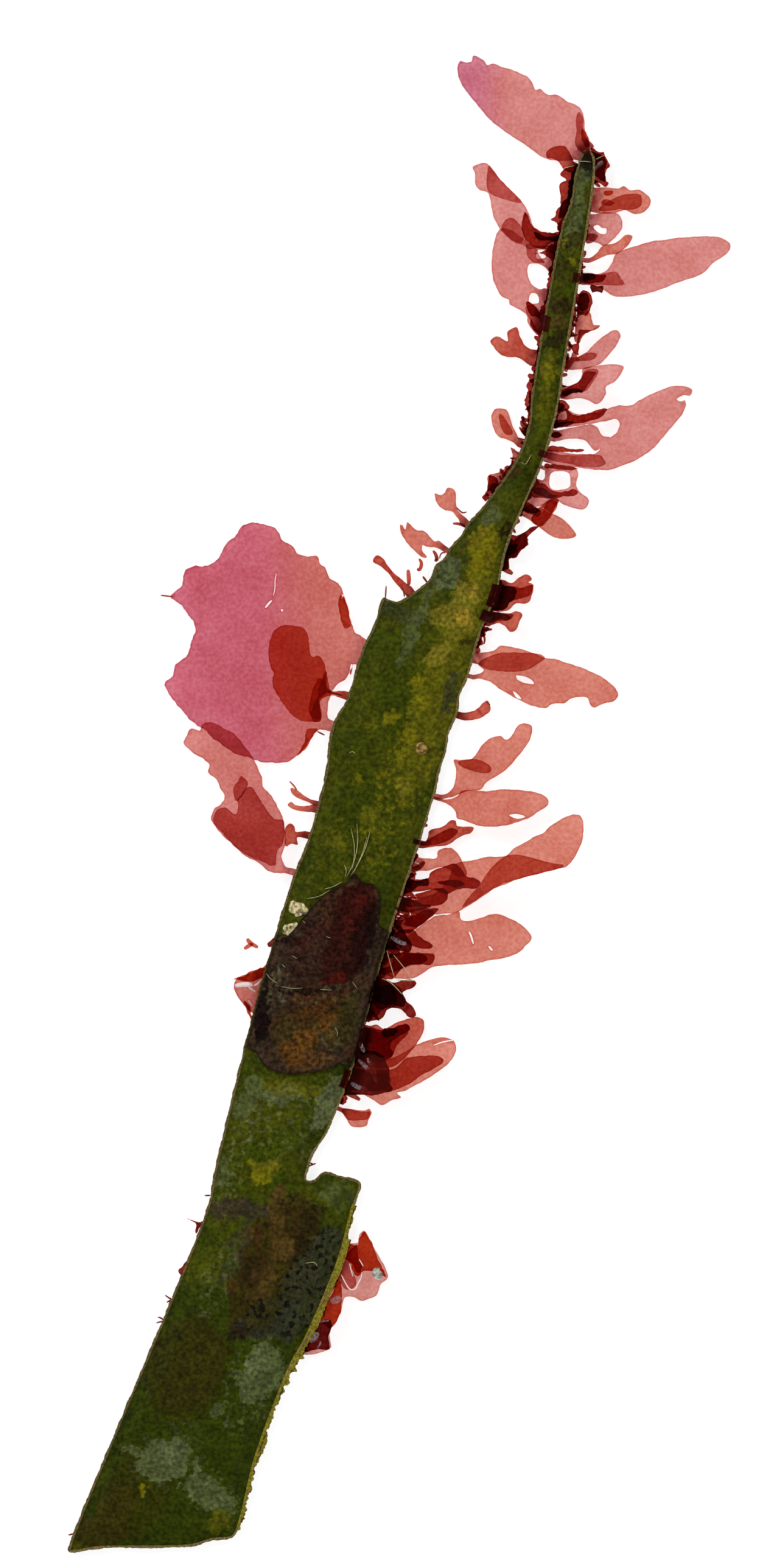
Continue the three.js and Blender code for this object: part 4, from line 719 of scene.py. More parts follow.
# Meshes
class Shell:
    """Collects closed thin shapes into one piece."""

    def __init__(self):
        self.verts = []
        self.faces = []
        self.edge = []
        self.sharp = set()

    def sheet(self, corners, triangles, low, high, edge):
        """A closed sheet between two height fields over the same triangles."""
        base = len(self.verts)
        count = len(corners)
        for heights in (low, high):
            self.verts += [(x, y, z) for (x, y), z in zip(corners, heights)]
            self.edge += list(edge)
        open_edges = {}
        for triangle in triangles:
            a, b, c = triangle
            cross = np.cross(corners[b] - corners[a], corners[c] - corners[a])
            if cross < 0:
                a, b, c = a, c, b
            self.faces.append((base + count + a, base + count + b, base + count + c))
            self.faces.append((base + a, base + c, base + b))
            for pair in ((a, b), (b, c), (c, a)):
                if pair[::-1] in open_edges:
                    del open_edges[pair[::-1]]
                else:
                    open_edges[pair] = True
        for a, b in open_edges:
            self.faces.append((base + a, base + b, base + count + b, base + count + a))
            self.sharp.add((base + a, base + b))
            self.sharp.add((base + count + a, base + count + b))

    def lance(self, line, widths, thickness):
        """A closed narrow blade along a line of places, with a width at each."""
        base = len(self.verts)
        line = [np.array(place) for place in line]
        for index, (place, width) in enumerate(zip(line, widths)):
            run = line[min(index + 1, len(line) - 1)] - line[max(index - 1, 0)]
            length = max(math.hypot(run[0], run[1]), SAME_POINT)
            side = np.array([-run[1] / length, run[0] / length, 0]) * width / 2
            up = np.array([0, 0, thickness / 2])
            ring = [place - side - up, place + side - up, place + side + up, place - side + up]
            self.verts += [tuple(p) for p in ring]
            self.edge += [width / 2] * 4
        for index in range(len(line) - 1):
            here, there = base + 4 * index, base + 4 * (index + 1)
            for corner in range(4):
                after = (corner + 1) % 4
                self.faces.append((here + corner, here + after, there + after, there + corner))
        last = base + 4 * (len(line) - 1)
        self.faces.append((base + 3, base + 2, base + 1, base))
        self.faces.append((last, last + 1, last + 2, last + 3))

    def make(self, name, material, replaces=()):
        mesh = bpy.data.meshes.new(name)
        places = [(x * MM, y * MM, z * MM) for x, y, z in self.verts]
        mesh.from_pydata(places, [], self.faces)
        mesh.materials.append(material)
        flat = np.array([(x, y) for x, y, _ in self.verts])
        for key, values in (("edge_mm", self.edge), ("root_mm", margin_distance(flat)[0])):
            attribute = mesh.attributes.new(key, "FLOAT", "POINT")
            attribute.data.foreach_set("value", np.array(values, np.float32))
        mesh.shade_smooth()
        if self.sharp:
            for edge in mesh.edges:
                a, b = edge.vertices
                edge.use_edge_sharp = (a, b) in self.sharp or (b, a) in self.sharp
        place_piece(name, mesh, replaces)


def link_object(name, data):
    made = bpy.data.objects.new(name, data)
    bpy.context.scene.collection.objects.link(made)
    return made


def place_piece(name, mesh, replaces=()):
    piece = link_object(name, mesh)
    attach(piece, "root")
    if replaces:
        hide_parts(*replaces)


# The kelp strap
def make_kelp():
    colours = ("deep_green", "leaf_green")
    material = kelp_skin("kelp skin", colours, KELP_PATCHES, "olive_brown", roughness=0.5, contrast=0.42)
    ring = ragged(smooth_ring(MARGIN, KELP_STEP / 2), depth=0.02, seed=3.0)
    corners, triangles, edge = flat_fill([ring], KELP_CELL, seed=11, inset=KELP_INSET)
    low = np.full(len(corners), KELP_UNDERSIDE)
    shell = Shell()
    shell.sheet(corners, triangles, low, kelp_height(corners, edge), edge)
    shell.make("kelp_skin", material, ["kelp_strap"])


# The red-brown blade: its lift over the kelp, and the band at the kelp's margin that is drawn onto it
CROSSING_LIFT = 0.15
CROSSING_BAND = 0.8
CROSSING_INSET = 0.08


def make_crossing_blade():
    colours = ("cross_brown", "cross_grey")
    material = kelp_skin("crossing blade", colours, CROSSING_PATCHES, "cross_black",
                         roughness=0.42, contrast=0.62)
    shape = cad_faces("crossing_blade")
    ring = max(loops_around(underside(shape.faces)), key=len)
    shape.free()
    ring = smooth_ring(corners_only(ring), RING_STEP)
    distance, foot = margin_distance(ring)
    at_margin = (distance > -CROSSING_BAND)[:, None]
    inset = CROSSING_INSET / np.maximum(np.abs(distance), SAME_POINT)[:, None]
    ring = np.where(at_margin, foot + (ring - foot) * inset, ring)
    ring = ragged(ring, depth=0.05, seed=9.0)
    corners, triangles, edge = flat_fill([ring], SHEET_CELL, seed=12)
    low = over_kelp(corners, CROSSING_LIFT + 0.05 * wobble(corners, 1.6, 2.0))
    low += 0.12 * np.abs(wobble(corners, 0.7, 4.0)) * smoothstep(edge, 0, 0.4)
    shell = Shell()
    shell.sheet(corners, triangles, low, low + CROSSING_THICKNESS, edge)
    shell.make("crossing_blade_skin", material, ["crossing_blade"])


# Red blades: node, tissue, and how ragged its margin is in millimetres
BLADES = {
    "tip_frond": ("tip", 0.05),
    "tip_foot_blade": ("salmon_thick", 0.04),
    "right_frond_01": ("salmon", 0.05),
    "right_frond_02": ("rose", 0.05),
    "right_frond_03": ("salmon", 0.04),
    "right_frond_04": ("rose", 0.04),
    "right_frond_05": ("rose", 0.04),
    "right_frond_06": ("rose", 0.04),
    "right_frond_07": ("rose", 0.05),
    "right_frond_08": ("rose", 0.05),
    "right_frond_09": ("salmon", 0.04),
    "right_frond_10": ("blood", 0.06),
    "right_frond_11": ("salmon_thick", 0.06),
    "right_frond_12": ("salmon_thick", 0.06),
    "right_frond_13": ("salmon", 0.05),
    "right_frond_14": ("salmon", 0.04),
    "right_frond_15": ("salmon_thick", 0.05),
    "right_frond_16": ("salmon", 0.05),
    "right_frond_17": ("salmon", 0.05),
    "right_frond_18": ("salmon_thick", 0.06),
    "right_frond_19": ("salmon", 0.06),
    "right_frond_20": ("deep", 0.06),
    "right_frond_21": ("salmon", 0.05),
    "right_frond_22": ("deep", 0.06),
    "right_frond_23": ("deep", 0.07),
    "right_frond_24": ("salmon", 0.05),
    "right_frond_25": ("deep", 0.07),
    "right_frond_26": ("blood", 0.07),
    "right_frond_27": ("salmon_thick", 0.06),
    "right_frond_28": ("salmon", 0.05),
    "right_frond_29": ("salmon_thick", 0.05),
    "right_frond_30": ("salmon", 0.05),
    "folded_blade": ("glossy", 0.04),
    "left_frond_01": ("rose", 0.05),
    "left_frond_02": ("rose", 0.05),
    "left_frond_03": ("salmon_thick", 0.06),
    "left_frond_04": ("salmon", 0.05),
    "left_frond_05": ("salmon", 0.06),
    "left_frond_06": ("salmon", 0.07),
    "left_frond_07": ("salmon_thick", 0.05),
    "big_left_blade": ("magenta", 0.1),
    "small_left_blade": ("fold", 0.06),
    "lower_left_blade": ("magenta_pale", 0.07),
    "lower_left_tuft": ("salmon_thick", 0.06),
    "left_shred_01": ("salmon", 0.06),
    "left_shred_02": ("salmon", 0.06),
    "left_glossy_blade": ("glossy_thick", 0.05),
}


def make_tissues():
    dark = {"body": 0.08, "gloss": 0.15}
    wet = {"roughness": 0.2, "wrinkles": 0.6, "body": 0.1}
    return {
        "rose": tissue("rose tissue", "rose"),
        "tip": tissue("tip tissue", "rose", blush=("tip_magenta", 5.6, 9.2)),
        "salmon": tissue("salmon tissue", "salmon"),
        "salmon_thick": tissue("thick salmon tissue", "salmon", layers=1.5),
        "fold": tissue("folded tissue", "fold_red"),
        "magenta": tissue("magenta tissue", "rose_salmon", blush=("magenta", -9.5, -3.5), roots=0.2),
        "magenta_pale": tissue("pale magenta tissue", "rose", layers=1.2, roots=0.4),
        "deep": tissue("deep red tissue", "deep_red", **dark, roots=0.5),
        "blood": tissue("blood red tissue", "blood", **dark, roots=0.2),
        "young": tissue("young tissue", "young_red", **dark, roots=0.4),
        "young_dark": tissue("dark young tissue", "young_dark", body=0.08, gloss=0.1, roots=0.2),
        "glossy": tissue("glossy tissue", "glossy_pink", **wet, roots=0.3),
        "glossy_thick": tissue("thick glossy tissue", "glossy_pink", layers=1.6, **wet, roots=0.3),
        "glossy_fold": tissue("folded glossy tissue", "gloss_red", body=0.05, roughness=0.25,
                              gloss=0.3, roots=0.2),
    }


def grown_on(ring):
    """The ring with the places near the kelp's margin drawn into the kelp, as the roots are."""
    distance, foot = margin_distance(ring)
    near = distance < ROOT_REACH
    away = ring - foot
    lengths = np.maximum(np.linalg.norm(away, axis=1, keepdims=True), SAME_POINT)
    outward = np.where(distance[:, None] < 0, -away, away) / lengths
    return np.where(near[:, None], foot - outward * ROOT_DEPTH, ring), near


def island_of(face, group):
    """The faces joined to a face within a group, which leave the group."""
    found, waiting = [], [face]
    group.discard(face)
    while waiting:
        current = waiting.pop()
        found.append(current)
        for edge in current.edges:
            for near in edge.link_faces:
                if near in group:
                    group.discard(near)
                    waiting.append(near)
    return found


# Folds: how far over the blade they stand, and the least area of one in square millimetres
FOLD_STEP = 0.25
FOLD_LIFT = 0.35
LEAST_FOLD_AREA = 0.12
# How far from the kelp a blade reaches its full lift, and where it may ruffle freely
LIFT_REACH = 1.2
RUFFLE_REACH = 2.5
ROOT_LIFT_SHARE = 0.08


def raised_faces(shape, lift):
    """Upper faces that stand a fold's height over the blade."""
    found = set()
    for face in shape.faces:
        if face.normal.z > 0.5:
            middle = face.calc_center_median() / MM
            place = np.array([[middle.x, middle.y]])
            under = wave_height(place, margin_distance(place)[0])[0] + lift
            if middle.z - under > CAD_THICKNESS + FOLD_STEP:
                found.add(face)
    return found


# Slits and small holes in the blades: node, then each line with its width
SLITS = {
    "big_left_blade": [
        ([(-8.4, 15.8), (-8.5, 15.3), (-8.48, 14.8), (-8.6, 14.3)], 0.06),
        ([(-8.72, 13.95), (-8.95, 13.7), (-9.15, 13.45)], 0.13),
        ([(-8.05, 13.35), (-7.97, 13.2)], 0.12),
        ([(-3.85, 14.35), (-3.95, 14.05)], 0.12),
        ([(-3.25, 9.6), (-3.3, 9.2), (-3.35, 8.9)], 0.16),
    ],
    "right_frond_24": [
        ([(4.75, -8.65), (4.9, -8.95), (5.05, -9.5)], 0.12),
        ([(6.1, -9.65), (6.35, -9.95)], 0.12),
    ],
    "right_frond_28": [([(2.35, -16.4), (3.0, -16.15), (3.7, -16.05)], 0.07)],
}
# Blades whose folds are drawn in the lists of growth
DRAWN_FOLDS = ("folded_blade", "left_glossy_blade")


def make_blade(node, material, depth, seed):
    """One frond's thin sheets: the whole blade, and a second sheet over each fold."""
    shape = cad_faces(node)
    low_faces = underside(shape.faces)
    low_places = np.array([v.co for face in low_faces for v in face.verts]) / MM
    waves = wave_height(low_places[:, :2], margin_distance(low_places[:, :2])[0])
    lift = float(np.median(low_places[:, 2] - waves))
    layers = [(loops_around(low_faces), REST)]
    raised = raised_faces(shape, lift)
    while raised:
        island = island_of(next(iter(raised)), raised)
        area = sum(face.calc_area() for face in island)
        if node not in DRAWN_FOLDS and area > LEAST_FOLD_AREA * MM * MM:
            layers.append((loops_around(island), REST + FOLD_LIFT))
    shape.free()
    shell = Shell()
    for index, (loops, rest) in enumerate(layers):
        rings = []
        for loop in loops:
            ring, near = grown_on(smooth_ring(corners_only(loop), RING_STEP))
            rough = ragged(ring, depth, seed + index)
            rings.append(np.where(near[:, None], ring, rough))
        if index == 0:
            rings += [slit_ring(line, width) for line, width in SLITS.get(node, [])]
        corners, triangles, edge = flat_fill(rings, SHEET_CELL, seed)
        distance = margin_distance(corners)[0]
        loose = smoothstep(distance, 0, RUFFLE_REACH)
        ruffle = 0.1 * wobble(corners, 1.5, seed) + 0.05 * wobble(corners, 0.5, seed + 3)
        curl = 0.12 * (1 - smoothstep(edge, 0, 0.7)) * wobble(corners, 1.0, seed + 5)
        rising = smoothstep(distance, 0, LIFT_REACH)
        raised_by = lift * (ROOT_LIFT_SHARE + (1 - ROOT_LIFT_SHARE) * rising)
        low = wave_height(corners, np.maximum(distance, 0)) + raised_by + rest + loose * (ruffle + curl)
        low = np.maximum(low, LEAST_HEIGHT)
        shell.sheet(corners, triangles, low, low + SHEET_THICKNESS, edge)
    shell.make("blade_" + node, material, [node])


# Folds and young growth over the margins and fronds: piece, tissue, slot, and the outline of each sheet
GROWTH = [
    ("young_tip_tuft_left", "deep", "dark_young_blade", [
        [(12.0, 43.8), (11.3, 43.5), (11.0, 43.0), (11.4, 42.65), (11.05, 42.5), (10.88, 42.15),
         (11.0, 41.7), (11.0, 41.0), (10.7, 40.5), (10.7, 40.15), (10.35, 39.95), (10.75, 39.8),
         (10.75, 39.3), (11.2, 39.2), (11.6, 40.7), (12.05, 42.2)],
    ]),
    ("young_tip_tuft_right", "deep", "dark_young_blade", [
        [(13.1, 45.0), (13.45, 44.7), (13.65, 44.6), (13.95, 44.6), (14.05, 44.35), (14.2, 44.0),
         (14.4, 43.6), (14.2, 43.4), (14.1, 43.0), (14.15, 42.6), (14.3, 42.5), (14.1, 42.2),
         (13.6, 42.4), (13.1, 42.4)],
    ]),
    ("young_right_tuft_01", "deep", "dark_young_blade", [
        [(12.2, 34.8), (12.6, 35.15), (12.9, 35.0), (13.15, 34.5), (13.1, 34.0), (13.0, 33.6),
         (12.7, 33.4), (12.4, 33.5), (12.1, 33.0), (12.1, 34.0)],
        [(12.25, 32.4), (13.0, 32.5), (13.6, 32.6), (13.1, 32.3), (12.5, 32.0), (12.3, 31.5),
         (12.2, 30.7), (11.9, 30.9), (11.7, 31.4), (12.1, 31.5)],
    ]),
    ("pale_growth", "salmon", "red_blade", [
        [(12.3, 33.6), (12.9, 33.6), (13.3, 32.8), (13.75, 32.75), (13.6, 32.45), (13.1, 32.3),
         (12.5, 32.0), (12.3, 31.5), (12.0, 31.6), (12.0, 32.9)],
        [(11.9, 31.0), (12.1, 30.6), (12.3, 30.3), (11.9, 30.2), (11.4, 29.6), (11.2, 30.0),
         (11.7, 30.5)],
        [(7.6, 24.4), (8.0, 24.2), (8.3, 24.0), (8.0, 23.4), (7.7, 23.5), (7.75, 23.9)],
        [(7.8, 23.3), (7.3, 22.9), (6.9, 22.7), (6.4, 22.55), (6.1, 22.5), (6.05, 21.6), (5.9, 21.1),
         (6.4, 21.2), (6.9, 21.8), (7.4, 22.4), (7.9, 22.9)],
    ]),
    ("young_left_tuft_02", "deep", "dark_young_blade", [
        [(6.1, 22.5), (6.5, 22.45), (6.75, 22.1), (6.5, 21.7), (6.0, 21.3), (6.05, 22.0)],
        [(5.65, 21.0), (6.05, 21.4), (6.2, 21.1), (5.95, 20.7), (5.75, 20.8)],
    ]),
    ("young_left_tuft_03", "salmon_thick", "dark_young_blade", [
        [(-12.85, -26.9), (-13.1, -27.4), (-13.25, -28.0), (-13.5, -28.5), (-14.5, -28.25),
         (-13.95, -28.6), (-13.9, -29.3), (-13.6, -28.9), (-13.3, -29.0), (-13.1, -28.3)],
    ]),
    ("young_left_tuft_04", "salmon_thick", "dark_young_blade", [
        [(-14.3, -31.0), (-14.8, -31.5), (-15.1, -31.8), (-14.9, -32.2), (-15.0, -32.6), (-14.6, -32.3),
         (-14.5, -31.8)],
    ]),
    ("red_growth", "deep", "dark_young_blade", [
        [(8.5, 40.5), (8.8, 40.3), (9.1, 39.5), (9.7, 39.15), (10.4, 39.0), (11.0, 39.2), (11.0, 38.6),
         (10.4, 38.4), (9.9, 38.0), (9.5, 38.0), (9.0, 38.2), (8.5, 38.8)],
        [(9.2, 37.6), (9.7, 37.6), (10.3, 37.2), (10.6, 36.4), (10.8, 36.4), (10.9, 38.0), (10.4, 38.3),
         (10.0, 37.9)],
        [(10.3, 36.6), (10.55, 36.0), (10.3, 35.3), (10.6, 35.1), (10.8, 36.2)],
        [(8.7, 34.3), (9.2, 34.2), (9.6, 33.6), (10.0, 33.2), (9.9, 33.0), (9.3, 33.3), (8.9, 33.4)],
        [(9.0, 33.2), (9.3, 32.6), (9.8, 32.2), (9.9, 31.8), (9.3, 32.3), (8.9, 32.8)],
        [(12.5, 36.3), (13.0, 36.35), (13.6, 36.2), (14.1, 36.1), (13.8, 35.75), (13.1, 35.6),
         (12.5, 35.7)],
        [(11.0, 28.3), (11.8, 28.7), (12.4, 29.1), (12.7, 29.45), (13.4, 29.5), (13.0, 28.8),
         (12.6, 28.2), (12.0, 28.1), (11.3, 27.8), (11.0, 27.9)],
        [(10.5, 27.0), (10.9, 27.6), (11.4, 27.5), (11.6, 27.1), (11.2, 26.9), (10.8, 26.8)],
        [(11.1, 27.4), (11.5, 26.9), (12.2, 26.6), (13.0, 26.75), (14.2, 27.0), (14.1, 26.8),
         (13.4, 26.3), (12.4, 26.05), (11.3, 26.0), (10.6, 25.7), (10.6, 26.2), (11.4, 26.4),
         (11.4, 26.8)],
        [(10.2, 24.5), (10.8, 24.45), (11.4, 24.35), (12.6, 24.2), (11.6, 24.05), (10.8, 24.1),
         (10.1, 24.2)],
        [(9.9, 23.3), (10.5, 23.25), (11.1, 23.15), (12.2, 22.95), (11.2, 22.85), (10.4, 22.95),
         (9.9, 23.0)],
        [(9.0, 21.9), (9.9, 21.9), (10.3, 21.6), (11.0, 21.35), (12.1, 21.5), (12.2, 21.2), (11.2, 21.05),
         (10.4, 20.8), (10.0, 20.9), (9.0, 21.2)],
        [(8.6, 20.7), (9.3, 20.3), (9.7, 20.0), (9.5, 19.7), (8.9, 19.9), (8.4, 20.1)],
        [(7.2, 17.7), (7.8, 18.1), (8.5, 18.5), (8.8, 18.1), (8.5, 17.6), (8.2, 17.3), (8.0, 16.9),
         (7.5, 16.8), (7.4, 16.3), (7.0, 16.2)],
        [(0.1, -7.6), (0.9, -7.5), (1.8, -7.2), (2.3, -7.3), (1.9, -7.8), (1.3, -8.3), (0.6, -8.8),
         (-0.4, -8.3)],
        [(0.0, -6.3), (0.9, -6.5), (1.4, -6.7), (2.1, -6.9), (1.5, -7.2), (0.8, -7.4), (-0.2, -7.1)],
        [(-0.4, -10.2), (0.8, -10.1), (1.6, -10.2), (1.9, -10.6), (1.3, -10.9), (0.6, -10.9),
         (0.1, -11.3), (-0.5, -11.9), (-1.6, -11.8), (-1.6, -11.3), (-0.6, -11.0)],
        [(-1.9, -12.0), (-1.0, -11.95), (-0.3, -12.3), (0.2, -12.8), (0.3, -13.4), (-0.3, -13.8),
         (-1.2, -13.95), (-1.5, -14.4), (-2.4, -14.6), (-2.2, -13.6), (-2.0, -12.8)],
        [(-2.7, -15.3), (-1.8, -15.2), (-1.0, -15.4), (-0.3, -15.2), (0.5, -15.0), (0.7, -15.3),
         (0.0, -15.8), (-0.6, -16.3), (-0.4, -17.0), (-1.0, -17.4), (-1.9, -17.2), (-3.1, -17.0),
         (-3.0, -16.2)],
    ]),
    ("dark_growth", "young_dark", "dark_young_blade", [
        [(12.1, 43.2), (11.8, 43.0), (11.7, 42.6), (11.5, 42.2), (11.75, 42.0)],
        [(11.7, 41.4), (11.2, 41.2), (11.0, 40.6), (10.9, 40.1), (11.3, 40.2)],
        [(13.1, 44.6), (13.5, 44.45), (13.9, 44.3), (14.15, 43.7), (14.0, 43.3), (14.1, 42.7),
         (14.05, 42.4), (13.6, 42.7), (13.1, 43.2)],
        [(9.2, 39.1), (10.1, 38.75), (11.0, 38.9), (11.0, 38.6), (10.2, 38.5), (9.5, 38.6)],
        [(9.8, 38.1), (10.3, 37.9), (10.8, 37.7), (10.8, 37.2), (10.4, 37.6)],
        [(12.4, 34.8), (12.8, 34.9), (12.95, 34.3), (12.7, 33.7), (12.4, 33.7), (12.2, 34.3)],
        [(12.5, 36.1), (13.0, 36.25), (13.4, 36.05), (13.1, 35.8), (12.6, 35.8)],
        [(13.1, 35.45), (13.5, 35.35), (13.9, 35.4), (13.8, 34.95), (13.5, 35.05), (13.2, 35.0)],
        [(11.0, 28.15), (11.5, 28.3), (12.1, 28.4), (12.5, 28.2), (11.9, 28.1), (11.3, 27.9)],
        [(10.7, 27.1), (11.0, 27.4), (11.4, 27.3), (11.2, 27.0), (10.8, 26.9)],
        [(10.6, 26.1), (11.1, 26.15), (11.9, 26.1), (11.4, 25.85), (10.8, 25.7), (10.4, 25.8)],
        [(10.2, 25.4), (10.9, 25.45), (11.1, 25.2), (10.7, 25.0), (10.3, 25.1)],
        [(9.1, 21.6), (9.9, 21.6), (10.4, 21.2), (10.8, 21.1), (10.2, 20.9), (9.8, 21.1), (9.2, 21.3)],
        [(8.7, 20.5), (9.2, 20.3), (9.5, 20.1), (9.1, 19.9), (8.6, 20.1)],
        [(7.2, 17.4), (7.7, 17.8), (8.1, 17.8), (7.9, 17.2), (7.5, 17.0), (7.2, 16.7)],
        [(6.6, 15.1), (7.2, 15.0), (7.7, 14.9), (8.0, 14.6), (7.9, 14.2), (7.5, 13.7), (7.2, 13.3),
         (6.9, 13.2), (6.3, 13.3), (6.2, 13.8), (6.4, 14.6)],
        [(6.0, 13.1), (7.2, 13.0), (7.6, 12.8), (7.4, 12.6), (6.6, 12.6), (5.9, 12.5)],
        [(0.2, -5.3), (1.2, -5.2), (2.0, -5.0), (2.0, -5.5), (1.2, -5.6), (0.8, -5.9), (0.2, -5.9)],
        [(-0.8, -8.6), (0.0, -8.3), (0.4, -8.9), (0.8, -9.6), (0.7, -10.0), (0.1, -10.0), (-0.6, -9.9),
         (-1.3, -9.7)],
        [(-1.5, -12.5), (-0.8, -12.3), (-0.2, -12.9), (-0.2, -13.5), (-1.0, -13.7), (-1.7, -13.3)],
        [(-1.1, -15.35), (-0.1, -15.4), (-0.4, -15.8), (-1.1, -15.9)],
        [(-3.0, -16.6), (-2.0, -16.8), (-1.2, -17.1), (-0.9, -17.6), (-0.6, -18.3), (-0.7, -18.9),
         (-0.4, -19.4), (-1.5, -19.8), (-3.0, -19.8), (-4.1, -19.8), (-3.7, -19.0), (-3.4, -18.0)],
    ]),
    ("fold_growth", "fold", "red_blade", [
        [(-4.0, 14.3), (-4.15, 13.5), (-4.05, 12.9), (-3.9, 12.4), (-3.7, 12.0), (-3.3, 12.2),
         (-3.45, 13.0), (-3.65, 13.8)],
        [(-5.55, 5.15), (-6.2, 5.2), (-6.4, 4.9), (-6.45, 4.4), (-6.7, 3.8), (-7.0, 3.3), (-6.4, 3.9),
         (-6.0, 4.6)],
        [(-5.0, 9.1), (-5.3, 8.5), (-5.6, 7.5), (-5.9, 6.6), (-5.9, 5.75), (-5.4, 5.75), (-5.4, 6.5),
         (-5.5, 7.2), (-5.0, 7.6), (-4.6, 7.7), (-4.8, 8.1)],
        [(10.2, 20.8), (10.8, 20.6), (10.3, 19.7), (9.7, 19.0), (9.2, 19.2), (9.0, 19.6), (9.6, 19.9),
         (9.9, 20.1)],
        [(12.9, 45.6), (13.0, 44.9), (12.7, 44.9), (12.4, 45.4), (12.5, 46.2)],
        [(14.0, 41.9), (14.6, 41.85), (14.5, 41.6), (14.0, 41.65)],
        [(13.9, 41.3), (14.5, 41.2), (14.9, 41.0), (14.3, 40.9), (13.8, 41.0)],
    ]),
    ("gloss_growth", "glossy_fold", "glossy_blade", [
        [(-2.4, -29.1), (-2.85, -29.6), (-2.85, -30.0), (-3.5, -30.0), (-3.8, -30.3), (-3.6, -31.0),
         (-3.4, -31.15), (-3.2, -31.6), (-2.9, -32.1), (-2.5, -31.8), (-2.0, -31.85), (-1.2, -32.1),
         (-0.85, -32.3), (-1.4, -31.2), (-1.9, -30.0)],
        [(-2.9, -30.0), (-3.4, -30.4), (-3.7, -31.0), (-3.1, -31.4), (-2.8, -31.9), (-2.55, -31.4),
         (-2.75, -30.8)],
        [(-4.1, -32.1), (-3.95, -32.9), (-3.85, -33.4), (-4.0, -34.3), (-4.15, -35.0), (-4.5, -35.6),
         (-4.7, -35.8), (-5.4, -35.3), (-5.5, -34.8), (-5.0, -34.0), (-4.6, -33.3), (-4.3, -32.6)],
        [(-11.3, -11.9), (-11.1, -11.8), (-10.7, -11.75), (-10.3, -11.5), (-9.6, -11.2), (-9.2, -10.9),
         (-8.9, -10.5), (-8.8, -11.2), (-9.1, -11.6), (-9.6, -11.9), (-9.9, -12.1), (-10.3, -12.05),
         (-10.9, -12.0)],
        [(-10.6, -13.4), (-10.2, -13.7), (-10.1, -14.3), (-9.8, -14.8), (-10.0, -15.0), (-10.3, -14.4)],
    ]),
    ("dark_fold", "young_dark", "glossy_blade", [
        [(-4.7, -35.2), (-5.4, -35.3), (-5.8, -35.6), (-6.3, -36.0), (-6.7, -37.2), (-6.3, -37.35),
         (-5.6, -37.2), (-4.75, -37.1), (-4.85, -36.4), (-4.75, -35.9)],
    ]),
    ("rose_growth", "rose", "glossy_blade", [
        [(-4.3, -31.3), (-3.5, -31.1), (-3.1, -32.1), (-2.9, -32.7), (-3.3, -33.1), (-3.8, -32.9),
         (-4.1, -32.2)],
        [(12.7, 38.9), (13.2, 39.1), (13.6, 38.9), (13.4, 38.5), (12.8, 38.3)],
        [(8.6, 38.3), (9.1, 38.3), (9.6, 37.4), (9.9, 37.0), (9.0, 37.1), (8.7, 37.6)],
    ]),
]
GROWTH_RAGGEDNESS = 0.1
GROWTH_CELL = 0.3
GROWTH_ROOT_HEIGHT = 0.15
GROWTH_RISE = 0.5
GROWTH_STEP = 0.05


def growth_height(places, lift):
    """Height of growth over the fronds: inside the kelp's side wall at the margin, higher away from it."""
    distance = margin_distance(places)[0]
    free = smoothstep(distance, -0.1, 0.9)
    rising = GROWTH_ROOT_HEIGHT + free * (GROWTH_RISE + 0.08 * wobble(places, 0.8, 4.0) + lift)
    return wave_height(places, np.maximum(distance, 0)) + rising


def make_growth(materials):
    for seed, (name, kind, slot, outlines) in enumerate(GROWTH):
        shell = Shell()
        for index, outline in enumerate(outlines):
            ring = smooth_ring(np.array(outline) + SHIFT, RING_STEP)
            ring = ragged(ring, GROWTH_RAGGEDNESS, seed + 0.37 * index)
            corners, triangles, edge = flat_fill([ring], GROWTH_CELL, index)
            low = growth_height(corners, GROWTH_STEP * seed)
            shell.sheet(corners, triangles, low, low + YOUNG_THICKNESS, edge)
        replaced = name.removeprefix("young_")
        shell.make(name, materials[kind], [replaced] if replaced != name else ())


